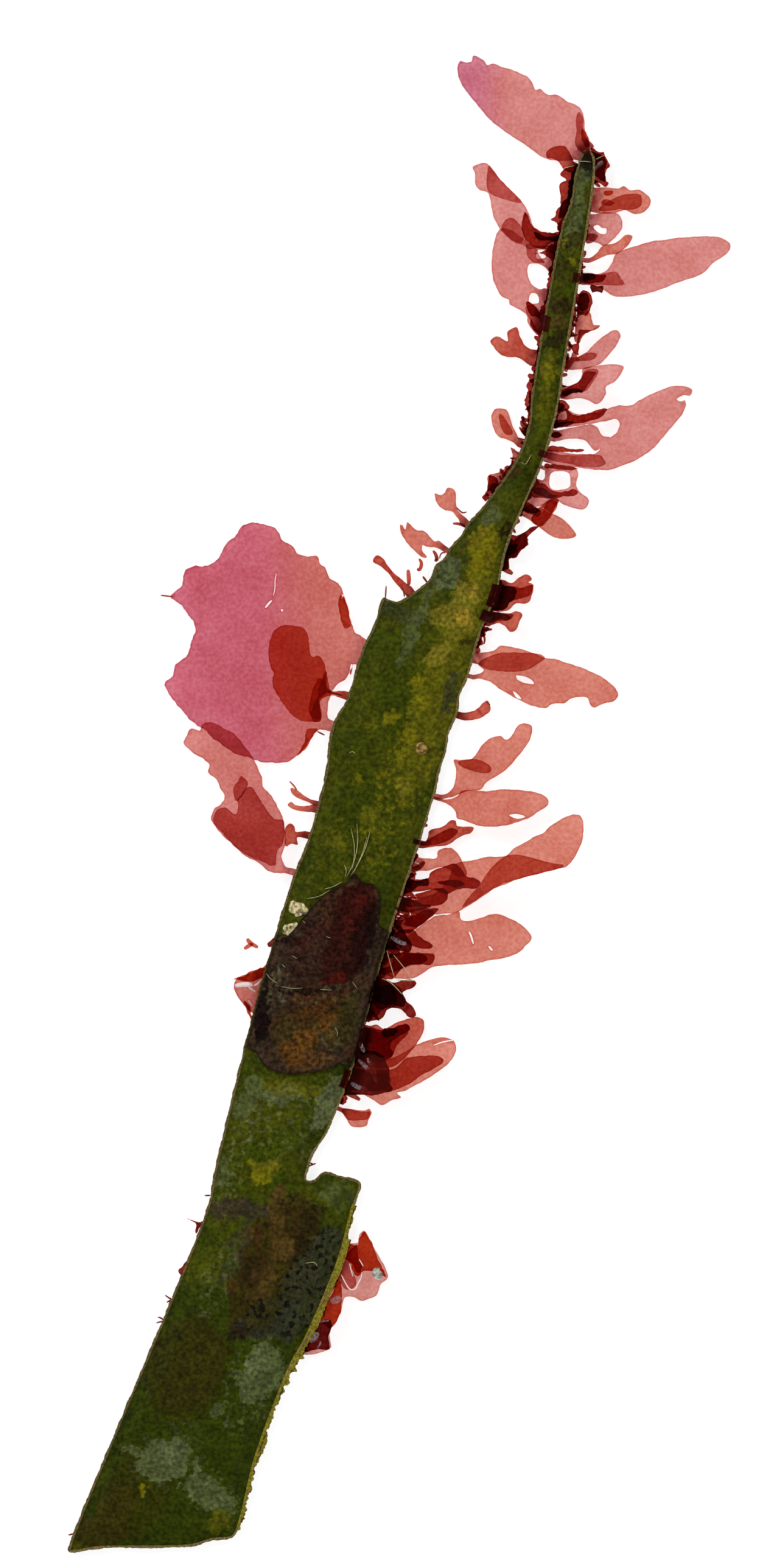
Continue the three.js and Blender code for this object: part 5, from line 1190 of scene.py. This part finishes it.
# Rows of young blades: from, to, how many, least and most length, side, seed
YOUNG_TUFTS = {
    "right_tuft_02": [((5.1, 10.8), (5.6, 11.9), 9, 0.5, 1.1, 1, 21)],
    "left_tuft_01": [((9.25, 29.1), (8.95, 27.0), 9, 0.3, 0.6, -1, 52)],
}
YOUNG_ROWS = [
    ((12.05, 43.6), (11.3, 39.4), 22, 0.4, 0.9, -1, 3),
    ((13.25, 42.4), (13.15, 44.5), 14, 0.4, 0.9, 1, 8),
    ((12.5, 38.9), (12.95, 40.9), 6, 0.3, 0.7, 1, 101),
    ((12.2, 35.4), (12.6, 37.4), 7, 0.3, 0.8, 1, 102),
    ((11.7, 31.3), (12.3, 34.9), 12, 0.4, 0.9, 1, 12),
    ((10.8, 27.9), (11.6, 31.6), 9, 0.3, 0.8, 1, 103),
    ((9.1, 22.2), (10.5, 26.6), 12, 0.3, 0.9, 1, 104),
    ((7.5, 18.4), (8.8, 21.4), 6, 0.3, 0.8, 1, 105),
    ((6.9, 15.6), (7.2, 17.8), 8, 0.4, 1.0, 1, 106),
    ((5.4, 11.8), (6.5, 15.0), 14, 0.4, 1.1, 1, 107),
    ((1.0, -3.0), (2.1, 0.2), 4, 0.2, 0.5, 1, 108),
    ((-0.6, -8.3), (0.8, -3.9), 22, 0.5, 1.4, 1, 109),
    ((-2.1, -14.2), (-0.6, -8.3), 26, 0.5, 1.5, 1, 110),
    ((-4.0, -19.8), (-2.6, -15.2), 26, 0.5, 1.6, 1, 111),
    ((10.35, 32.6), (11.1, 39.2), 22, 0.3, 0.7, -1, 112),
    ((9.2, 29.0), (9.9, 31.8), 10, 0.3, 0.7, -1, 114),
    ((8.4, 24.6), (8.85, 26.6), 12, 0.3, 0.9, -1, 115),
    ((6.1, 21.0), (8.0, 24.0), 10, 0.3, 0.7, -1, 58),
]
# A young blade's steps along its length, and the length from which it has its full width
YOUNG_STEPS = 5
FULL_WIDTH_LENGTH = 0.7


def strand(shell, points, width, lift, height=growth_height, thickness=YOUNG_THICKNESS):
    """A narrow tapered blade along a line of places seen from above."""
    line = smooth_line(points, 2) + SHIFT
    shell.lance(np.column_stack([line, height(line, lift)]), tapered(line, width), thickness)


def young_row(shell, row):
    """Small curved blades of many sizes that fan out from a line along the margin."""
    start, end, count, least, most, side, seed = row
    chance = random.Random(seed)
    start, end = np.array(start), np.array(end)
    along = (end - start) / np.linalg.norm(end - start)
    outward = np.array([along[1], -along[0]]) * side
    for index in range(count):
        root = start + (end - start) * (index + 1.6 * chance.random()) / count
        root = root - outward * chance.uniform(0.05, 0.25)
        length = least + (most - least) * chance.random() ** 2
        heading = chance.uniform(-1.2, 1.2)
        bend = chance.uniform(-1.2, 1.2)
        line = [root]
        for step in range(YOUNG_STEPS):
            angle = heading + bend * step / (YOUNG_STEPS - 1)
            way = outward * math.cos(angle) + along * math.sin(angle)
            line.append(line[-1] + way * length / YOUNG_STEPS)
        width = chance.uniform(0.12, 0.5) * min(1.0, length / FULL_WIDTH_LENGTH)
        strand(shell, line, width, chance.uniform(0, 0.35))


def make_young_blades(materials):
    for node, rows in YOUNG_TUFTS.items():
        shell = Shell()
        for row in rows:
            young_row(shell, row)
        shell.make("young_" + node, materials["young"], [node])
    shell = Shell()
    for row in YOUNG_ROWS:
        young_row(shell, row)
    shell.make("young_margin_rows", materials["young"])


# Fringes along the margin: from, to, least and most width
DARK_FRINGES = [
    ((12.1, 43.8), (11.1, 39.2), 0.1, 0.5),
    ((11.1, 39.2), (10.1, 32.2), 0.12, 0.5),
    ((9.9, 31.9), (9.3, 29.3), 0.15, 0.6),
    ((9.3, 29.4), (8.95, 26.9), 0.2, 0.65),
    ((8.9, 26.8), (8.4, 24.6), 0.05, 0.25),
    ((7.9, 23.4), (6.0, 20.9), 0.1, 0.35),
    ((13.2, 42.2), (12.9, 38.4), 0.0, 0.2),
    ((12.7, 37.6), (12.45, 35.6), 0.02, 0.3),
    ((12.35, 35.2), (11.8, 31.5), 0.08, 0.4),
    ((11.7, 31.4), (11.2, 29.4), 0.0, 0.15),
    ((11.1, 28.8), (10.4, 25.6), 0.05, 0.35),
    ((10.3, 25.5), (9.6, 22.8), 0.0, 0.25),
    ((9.3, 22.1), (8.4, 19.6), 0.08, 0.4),
    ((7.6, 18.2), (7.0, 16.0), 0.1, 0.5),
    ((6.8, 15.4), (6.0, 12.6), 0.2, 0.7),
    ((5.9, 12.4), (5.3, 10.7), 0.1, 0.5),
    ((0.9, -3.3), (-0.8, -8.6), 0.05, 0.35),
    ((-0.8, -8.6), (-2.4, -14.8), 0.12, 0.6),
    ((-2.5, -15.1), (-4.1, -20.4), 0.12, 0.7),
]
FUZZ_FRINGES = [
    ((-3.4, -27.2), (-3.8, -29.6), 0.05, 0.25),
    ((-3.8, -29.6), (-6.9, -37.4), 0.3, 0.55),
    ((-6.9, -37.4), (-8.0, -39.6), 0.12, 0.6),
    ((-8.0, -39.6), (-10.9, -49.6), 0.02, 0.4),
]
FRINGE_STEP = 0.09
FRINGE_OVERLAP = 0.12
# The red strips: piece, tissue, share of the listed widths, height
RED_FRINGES = (
    ("dark_fringe", "young_dark", 0.35, 0.3),
    ("red_fringe", "deep", 0.85, 0.15),
)
# Layers of fuzz: share of the listed width and height
FUZZ_LAYERS = ((1.0, 0.3), (0.75, 0.46))
# A tan strip all round the kelp: its brownish fringe, and a painted soft contact shadow along its edge
TAN_LEAST, TAN_MOST, TAN_HEIGHT = 0.03, 0.11, 0.44


def margin_run(start, end):
    """The places along the kelp's margin between two places, and the way out at each."""
    ring = smooth_ring(MARGIN, FRINGE_STEP)
    count = len(ring)
    ends = np.array([start, end]) + SHIFT
    first, last = (int(np.linalg.norm(ring - place, axis=1).argmin()) for place in ends)
    forward = (last - first) % count
    steps = range(forward + 1) if forward <= count / 2 else range(0, forward - count - 1, -1)
    order = [(first + step) % count for step in steps]
    return ring[order], outward_of(ring)[order]


def outward_of(ring):
    """The way out of a ring at each of its places."""
    run = np.roll(ring, -1, axis=0) - np.roll(ring, 1, axis=0)
    run /= np.maximum(np.linalg.norm(run, axis=1, keepdims=True), 1e-9)
    way = np.stack([run[:, 1], -run[:, 0]], axis=1)
    area = (ring[:, 0] * np.roll(ring[:, 1], -1) - ring[:, 1] * np.roll(ring[:, 0], -1)).sum()
    return way if area > 0 else -way


def fringe(shell, places, outward, least, most, seed, height, closed=False):
    """A ragged strip that stands out from the margin."""
    noisy = wobble(places, 0.9, seed) + 0.8 * wobble(places, 0.3, seed + 4)
    noisy = noisy + 0.4 * wobble(places, 0.12, seed + 8)
    width = least + (most - least) * np.clip(0.45 + 0.8 * noisy, 0, 1)
    inner = places - outward * FRINGE_OVERLAP
    outer = places + outward * width[:, None]
    count = len(places)
    rows = range(count if closed else count - 1)
    triangles = [(i, (i + 1) % count, count + (i + 1) % count) for i in rows]
    triangles += [(i, count + (i + 1) % count, count + i) for i in rows]
    corners = np.concatenate([inner, outer])
    low = np.concatenate([np.full(count, height), height + 0.1 + 0.5 * width * (1 + noisy)])
    low = np.maximum(low, LEAST_HEIGHT)
    shell.sheet(corners, triangles, low, low + YOUNG_THICKNESS, np.concatenate([width, np.zeros(count)]))


def make_fringes(materials):
    for name, kind, share, height in RED_FRINGES:
        shell = Shell()
        for seed, (start, end, least, most) in enumerate(DARK_FRINGES):
            places, outward = margin_run(start, end)
            fringe(shell, places, outward, least * share, most * share, seed + height * 10, height)
        shell.make(name, materials[kind])
    shell = Shell()
    for seed, (start, end, least, most) in enumerate(FUZZ_FRINGES):
        places, outward = margin_run(start, end)
        for layer, (share, height) in enumerate(FUZZ_LAYERS):
            fringe(shell, places, outward, least, most * share, seed + 30 + 5 * layer, height)
    shell.make("fuzz", plain_matter("fuzz", "fuzz", 0.16, 0.5))
    # The tan strip: brownish fringe and painted contact shadow all round the margin
    ring = smooth_ring(MARGIN, FRINGE_STEP)
    shell = Shell()
    fringe(shell, ring, outward_of(ring), TAN_LEAST, TAN_MOST, 50.0, TAN_HEIGHT, closed=True)
    shell.make("tan_margin", plain_matter("tan margin", "tan", 0.15, 0.5))


# Fine strands, each a line of places, among them the crossing blade's painted glints; the painted
# highlights, the painted sheen and the shreds have a width before it
KELP_THREADS = [
    [(-2.9, -1.3), (-2.8, -2.6), (-3.1, -4.0), (-3.6, -4.9)],
    [(-2.2, -2.2), (-2.5, -3.3), (-3.0, -4.4), (-3.3, -4.8)],
    [(-2.0, -1.8), (-2.3, -3.0), (-2.9, -4.2)],
    [(-3.3, -1.6), (-3.0, -3.0), (-3.2, -4.4)],
    [(-3.75, -4.1), (-3.6, -4.5), (-3.7, -4.9)],
    [(-5.1, -5.75), (-4.5, -5.6), (-3.9, -5.25)],
    [(-6.3, -6.4), (-5.5, -6.3), (-4.7, -5.8)],
    [(12.0, 43.95), (12.6, 43.95), (13.1, 43.9)],
    [(8.3, 23.4), (8.6, 23.2), (8.8, 23.5), (9.0, 23.9)],
    [(-3.4, 3.55), (-3.2, 3.65), (-3.0, 3.5)],
    [(-6.4, -31.3), (-5.8, -31.2), (-5.6, -31.5)],
]
# Painted highlights: small pale glints on the crossing blade, drawn as fine strands in the thread colour
CROSSING_GLINTS = [
    [(-9.1, -11.5), (-8.8, -11.9), (-8.3, -12.2)],
    [(-8.1, -12.4), (-7.3, -12.55), (-6.6, -12.5)],
    [(-7.3, -10.3), (-7.0, -10.5)],
    [(-8.0, -10.9), (-7.8, -11.1)],
    [(-4.4, -15.2), (-4.2, -15.5), (-4.25, -15.8)],
    [(-5.4, -12.6), (-4.6, -12.65)],
    [(-3.2, -12.1), (-2.9, -12.5)],
    [(-6.6, -7.9), (-6.4, -8.1)],
    [(-5.0, -9.0), (-4.7, -9.1)],
]
OVER_THREADS = [
    [(-0.4, -10.25), (0.2, -10.95), (0.55, -11.4), (0.75, -11.8)],
    [(-0.85, -9.95), (-0.6, -10.9), (-0.3, -11.9)],
    [(-1.2, -11.85), (-0.6, -12.1), (-0.1, -12.6), (0.2, -12.95)],
    [(11.2, 43.4), (11.6, 43.55), (11.95, 43.65)],
    [(13.1, 44.0), (13.6, 44.15), (14.05, 44.35)],
    [(-3.0, -16.0), (-2.6, -16.15), (-2.5, -16.5), (-2.7, -16.7)],
    [(-0.2, -11.95), (0.5, -12.0), (1.1, -12.0)],
]
# Painted highlights: pale strokes where light shines off the wet folds of the glossy blades, each with its
# width
PAINTED_HIGHLIGHT_LINES = [
    (0.1, [(-3.95, -32.1), (-3.7, -32.6), (-3.4, -33.1), (-3.0, -33.1), (-2.85, -32.7), (-2.6, -32.3),
           (-2.55, -31.9)]),
    (0.07, [(-3.4, -31.3), (-3.25, -31.9), (-3.15, -32.2)]),
    (0.07, [(-2.75, -31.0), (-2.45, -31.5)]),
    (0.34, [(-11.2, -12.35), (-10.6, -12.25), (-10.0, -12.3)]),
    (0.11, [(-10.3, -12.45), (-9.8, -12.8)]),
    (0.08, [(-10.3, -13.35), (-10.05, -13.75)]),
    (0.16, [(-9.9, -12.35), (-9.5, -12.1), (-9.3, -11.85)]),
]
SHEEN_LINES = [
    (0.3, [(-2.8, -17.4), (-2.3, -17.9), (-1.8, -18.2), (-1.5, -19.0)]),
    (0.26, [(-2.2, -17.3), (-1.8, -17.9), (-1.6, -18.4)]),
    (0.32, [(-3.3, -19.0), (-2.8, -19.3), (-2.2, -19.4)]),
    (0.3, [(-2.8, -15.9), (-2.6, -16.4), (-2.4, -16.9)]),
    (0.3, [(-0.6, -9.0), (0.0, -9.4), (0.5, -9.5)]),
    (0.4, [(-6.1, -36.7), (-5.7, -36.4), (-5.6, -36.0)]),
    (0.12, [(-5.6, -37.1), (-5.4, -36.8), (-5.35, -36.6)]),
    (0.1, [(-5.6, -35.4), (-5.2, -35.25), (-4.8, -35.2)]),
    (0.5, [(-4.7, -33.9), (-4.3, -33.8), (-4.0, -33.6)]),
    (0.3, [(13.4, 43.3), (13.6, 43.7), (13.9, 43.9)]),
]
HAIRS = [
    [(-16.0, -33.5), (-15.6, -33.8), (-15.3, -33.9)],
    [(-15.9, -34.0), (-15.5, -33.8)],
    [(-16.5, -35.0), (-16.2, -35.1), (-15.9, -35.5)],
    [(-16.6, -35.4), (-16.2, -35.3), (-15.8, -35.4)],
    [(-13.3, -26.7), (-12.9, -26.7)],
    [(-22.6, -49.9), (-22.2, -49.8)],
    [(-19.2, -42.7), (-18.9, -42.6)],
    [(-6.3, -24.4), (-5.8, -24.6)],
    [(-6.2, -24.7), (-5.7, -24.5)],
    [(-3.9, 7.45), (-4.4, 7.6), (-4.9, 7.7)],
    [(-5.1, 4.75), (-5.6, 5.0)],
    [(-16.3, 14.3), (-15.9, 14.25), (-15.4, 14.2)],
    [(5.9, 7.1), (6.2, 6.8)],
    [(0.1, 15.05), (0.3, 14.6), (0.35, 14.2)],
    [(-0.95, 14.1), (-0.9, 14.95)],
    [(4.6, 20.0), (4.3, 19.9), (3.9, 20.3)],
]
SHREDS = [
    (0.2, [(3.65, 19.2), (4.1, 19.2), (4.6, 18.95)]),
    (0.25, [(1.35, 16.8), (1.55, 16.5), (1.4, 16.0), (1.2, 16.1)]),
    (0.25, [(2.3, 17.35), (2.5, 17.1), (2.6, 16.7), (2.4, 16.7)]),
    (0.3, [(0.6, 16.05), (0.65, 15.5), (0.65, 15.0)]),
    (0.15, [(1.6, 15.6), (1.9, 15.2)]),
    (0.1, [(2.75, 16.8), (2.8, 17.1), (3.0, 17.25), (3.15, 17.2)]),
    (0.3, [(-10.4, -9.15), (-10.2, -9.45), (-9.65, -9.75)]),
    (0.28, [(-10.6, -9.85), (-10.3, -9.65), (-10.0, -9.5)]),
    (0.4, [(-9.0, -9.6), (-8.7, -9.5), (-8.4, -9.1)]),
    (0.12, [(-7.5, 1.6), (-7.2, 1.3), (-7.0, 1.0)]),
]


def over_kelp(line, lift):
    """Height just over the kelp, or over the blade that lies on it."""
    depth = np.maximum(-margin_distance(line)[0], 0)
    return kelp_height(line, depth) + lift


def make_marks():
    # Pale matter for the threads, and for the crossing blade's painted glints
    pale = plain_matter("thread and painted glint", "thread", 0.2, 0.3)
    red = plain_matter("red hair", "young_red", 0.2, 0.3)
    sets = (
        ("kelp_threads", pale, "kelp", 0.045, 0.12, over_kelp, KELP_THREADS),
        ("crossing_glints", pale, "brown_blade", 0.032, 0.45, over_kelp, CROSSING_GLINTS),
        ("loose_threads", pale, "dark_young_blade", 0.055, 0.9, growth_height, OVER_THREADS),
        ("hairs", red, "red_blade", 0.11, 0.0, growth_height, HAIRS),
    )
    for name, material, slot, width, lift, height, lines in sets:
        shell = Shell()
        for line in lines:
            strand(shell, line, width, lift, height, STRAND_THICKNESS)
        shell.make(name, material)
    # The painted highlights: opaque near-white strokes that stand for light shining off wet folds
    gloss = plain_matter("white painted highlight", "painted_highlight_white", 0.2, 0.1, roughness=0.3)
    pale_sheen = sheen("pale sheen", "sheen")
    shred = tissue("shred tissue", "salmon", layers=1.6)
    wide_sets = (
        ("painted_highlight_strokes", gloss, "glossy_blade", 0.8, PAINTED_HIGHLIGHT_LINES),
        ("sheen_lines", pale_sheen, "dark_young_blade", 0.95, SHEEN_LINES),
        ("shred_bits", shred, "red_blade", 0.0, SHREDS),
    )
    for name, material, slot, lift, lines in wide_sets:
        shell = Shell()
        for width, line in lines:
            strand(shell, line, width, lift, thickness=STRAND_THICKNESS)
        shell.make(name, material)


# Crust on the kelp and one grain on the folded blade
CRUSTS = [
    ("crust", "crust", 0.08, over_kelp, [
        [(-7.5, -6.9), (-7.1, -6.6), (-6.6, -6.6), (-6.4, -7.0), (-6.2, -7.4), (-6.6, -7.5), (-7.0, -7.7),
         (-7.4, -7.4)],
        [(-8.0, -8.4), (-7.4, -8.1), (-6.9, -8.1), (-7.1, -8.5), (-7.6, -8.9), (-7.9, -8.8)],
    ]),
    ("grain_crust", "speck", 0.75, growth_height, [
        [(-1.8, -31.8), (-1.5, -31.6), (-1.2, -31.8), (-1.2, -32.2), (-1.5, -32.3), (-1.8, -32.0)],
    ]),
]
CRUST_CELL = 0.16
CRUST_THICKNESS = 0.07
CRUST_SINK = -0.05
LUMP_HEIGHT = 0.14
BEAD = (1.52, 3.85)
BEAD_RADIUS = 0.42
BEAD_LIFT = 0.15
BEAD_FLATNESS = 0.7


def make_crust():
    for name, colour, lift, height, outlines in CRUSTS:
        shell = Shell()
        for index, outline in enumerate(outlines):
            ring = ragged(smooth_ring(np.array(outline) + SHIFT, RING_STEP), 0.2, 70.0 + index)
            corners, triangles, edge = flat_fill([ring], CRUST_CELL, index)
            low = height(corners, CRUST_SINK)
            lumps = LUMP_HEIGHT * np.abs(wobble(corners, 0.18, 2.0)) * smoothstep(edge, 0, 0.15)
            shell.sheet(corners, triangles, low, low + CRUST_THICKNESS + lift + lumps, edge)
        shell.make(name, plain_matter(name, colour, 0.25, 0.85))


def make_bead():
    """The tan bead on the kelp: a flattened, lumpy ball."""
    shape = bmesh.new()
    bmesh.ops.create_icosphere(shape, subdivisions=3, radius=BEAD_RADIUS * MM)
    place = np.array([BEAD]) + SHIFT
    height = over_kelp(place, BEAD_LIFT)[0]
    for vert in shape.verts:
        vert.co.z *= BEAD_FLATNESS
        vert.co *= 1 + 0.15 * noise.noise(vert.co / MM * 3)
    bmesh.ops.translate(shape, verts=shape.verts, vec=(place[0, 0] * MM, place[0, 1] * MM, height * MM))
    mesh = bpy.data.meshes.new("bead")
    shape.to_mesh(mesh)
    shape.free()
    mesh.shade_smooth()
    mesh.materials.append(plain_matter("bead", "bead", 0.25, 0.8))
    place_piece("bead", mesh)


# The surface, the light and the camera
FLOOR_HALF = 4.0
FLOOR_HEIGHT = -0.02 * MM
FLOOR_CORNERS = ((-1, -1), (1, -1), (1, 1), (-1, 1))


def make_floor():
    shader = Shader("white surface")
    grain = shader.ramp(shader.noise(30, 2), 0.3, 0.7, FLOOR_ALBEDO * 0.98, FLOOR_ALBEDO)
    matt = shader.add("ShaderNodeBsdfDiffuse", {
        "Color": shader.add("ShaderNodeCombineXYZ", {0: grain, 1: grain, 2: grain}).outputs[0]}).outputs[0]
    glow = shader.add("ShaderNodeEmission", {"Color": (1, 1, 1, 1), "Strength": FLOOR_GLOW}).outputs[0]
    material = shader.finish(shader.add("ShaderNodeAddShader", {0: matt, 1: glow}).outputs[0])
    material.cycles.emission_sampling = "NONE"
    mesh = bpy.data.meshes.new("floor")
    corners = [(x * FLOOR_HALF, y * FLOOR_HALF, FLOOR_HEIGHT) for x, y in FLOOR_CORNERS]
    mesh.from_pydata(corners, [], [(0, 1, 2, 3)])
    mesh.materials.append(material)
    link_object("floor", mesh)


def make_softbox(name, place, size, power):
    light = bpy.data.lights.new(name, "AREA")
    light.size = size
    light.energy = power
    lamp = link_object(name, light)
    lamp.location = place
    lamp.rotation_euler = (-Vector(place)).to_track_quat("-Z", "Y").to_euler()


# The studio's light: where its bright band ends and its soft top starts, and how bright each is
BAND_TOP = 0.05
OVERHEAD_START = 0.7
BAND_LIGHT = 1.1
OVERHEAD_LIGHT = 0.45


def make_world():
    """A studio that is white at the horizon and softer overhead."""
    world = bpy.data.worlds.new("studio")
    world.use_nodes = True
    tree = world.node_tree
    tree.nodes.clear()
    coords = tree.nodes.new("ShaderNodeTexCoord")
    split = tree.nodes.new("ShaderNodeSeparateXYZ")
    fade = tree.nodes.new("ShaderNodeMapRange")
    light = tree.nodes.new("ShaderNodeBackground")
    out = tree.nodes.new("ShaderNodeOutputWorld")
    fade_values = (BAND_TOP, OVERHEAD_START, BAND_LIGHT, OVERHEAD_LIGHT)
    for index, value in enumerate(fade_values, start=1):
        fade.inputs[index].default_value = value
    tree.links.new(coords.outputs["Generated"], split.inputs[0])
    tree.links.new(split.outputs["Z"], fade.inputs[0])
    tree.links.new(fade.outputs[0], light.inputs["Strength"])
    tree.links.new(light.outputs[0], out.inputs[0])
    bpy.context.scene.world = world


# The photograph's frame: its middle on the specimen, its height in millimetres, and a long lens
VIEW_MIDDLE = (-1.081, 1.414)
VIEW_HEIGHT = 107.11
MIDDLE_HEIGHT = 0.6
LENS = 300.0
SENSOR = 36.0


def make_camera():
    camera = bpy.data.cameras.new("camera")
    camera.lens = LENS
    camera.sensor_width = SENSOR
    camera.clip_start, camera.clip_end = 0.01, 20
    viewer = link_object("camera", camera)
    x, y = np.array(VIEW_MIDDLE) + SHIFT
    viewer.location = (x * MM, y * MM, (VIEW_HEIGHT * LENS / SENSOR + MIDDLE_HEIGHT) * MM)
    bpy.context.scene.camera = viewer


def main():
    make_camera()
    make_kelp()
    make_crossing_blade()
    materials = make_tissues()
    for seed, (node, (kind, depth)) in enumerate(BLADES.items()):
        make_blade(node, materials[kind], depth, seed * 1.7)
    make_growth(materials)
    make_young_blades(materials)
    make_fringes(materials)
    make_marks()
    make_crust()
    make_bead()
    make_floor()
    make_softbox("main light", (-0.35, 0.35, 0.5), size=0.3, power=2.6)
    make_softbox("side light", (0.4, -0.2, 0.45), size=0.4, power=1.0)
    make_world()
    scene = bpy.context.scene
    scene.view_settings.view_transform = "Standard"
    scene.cycles.transparent_max_bounces = 96


main()
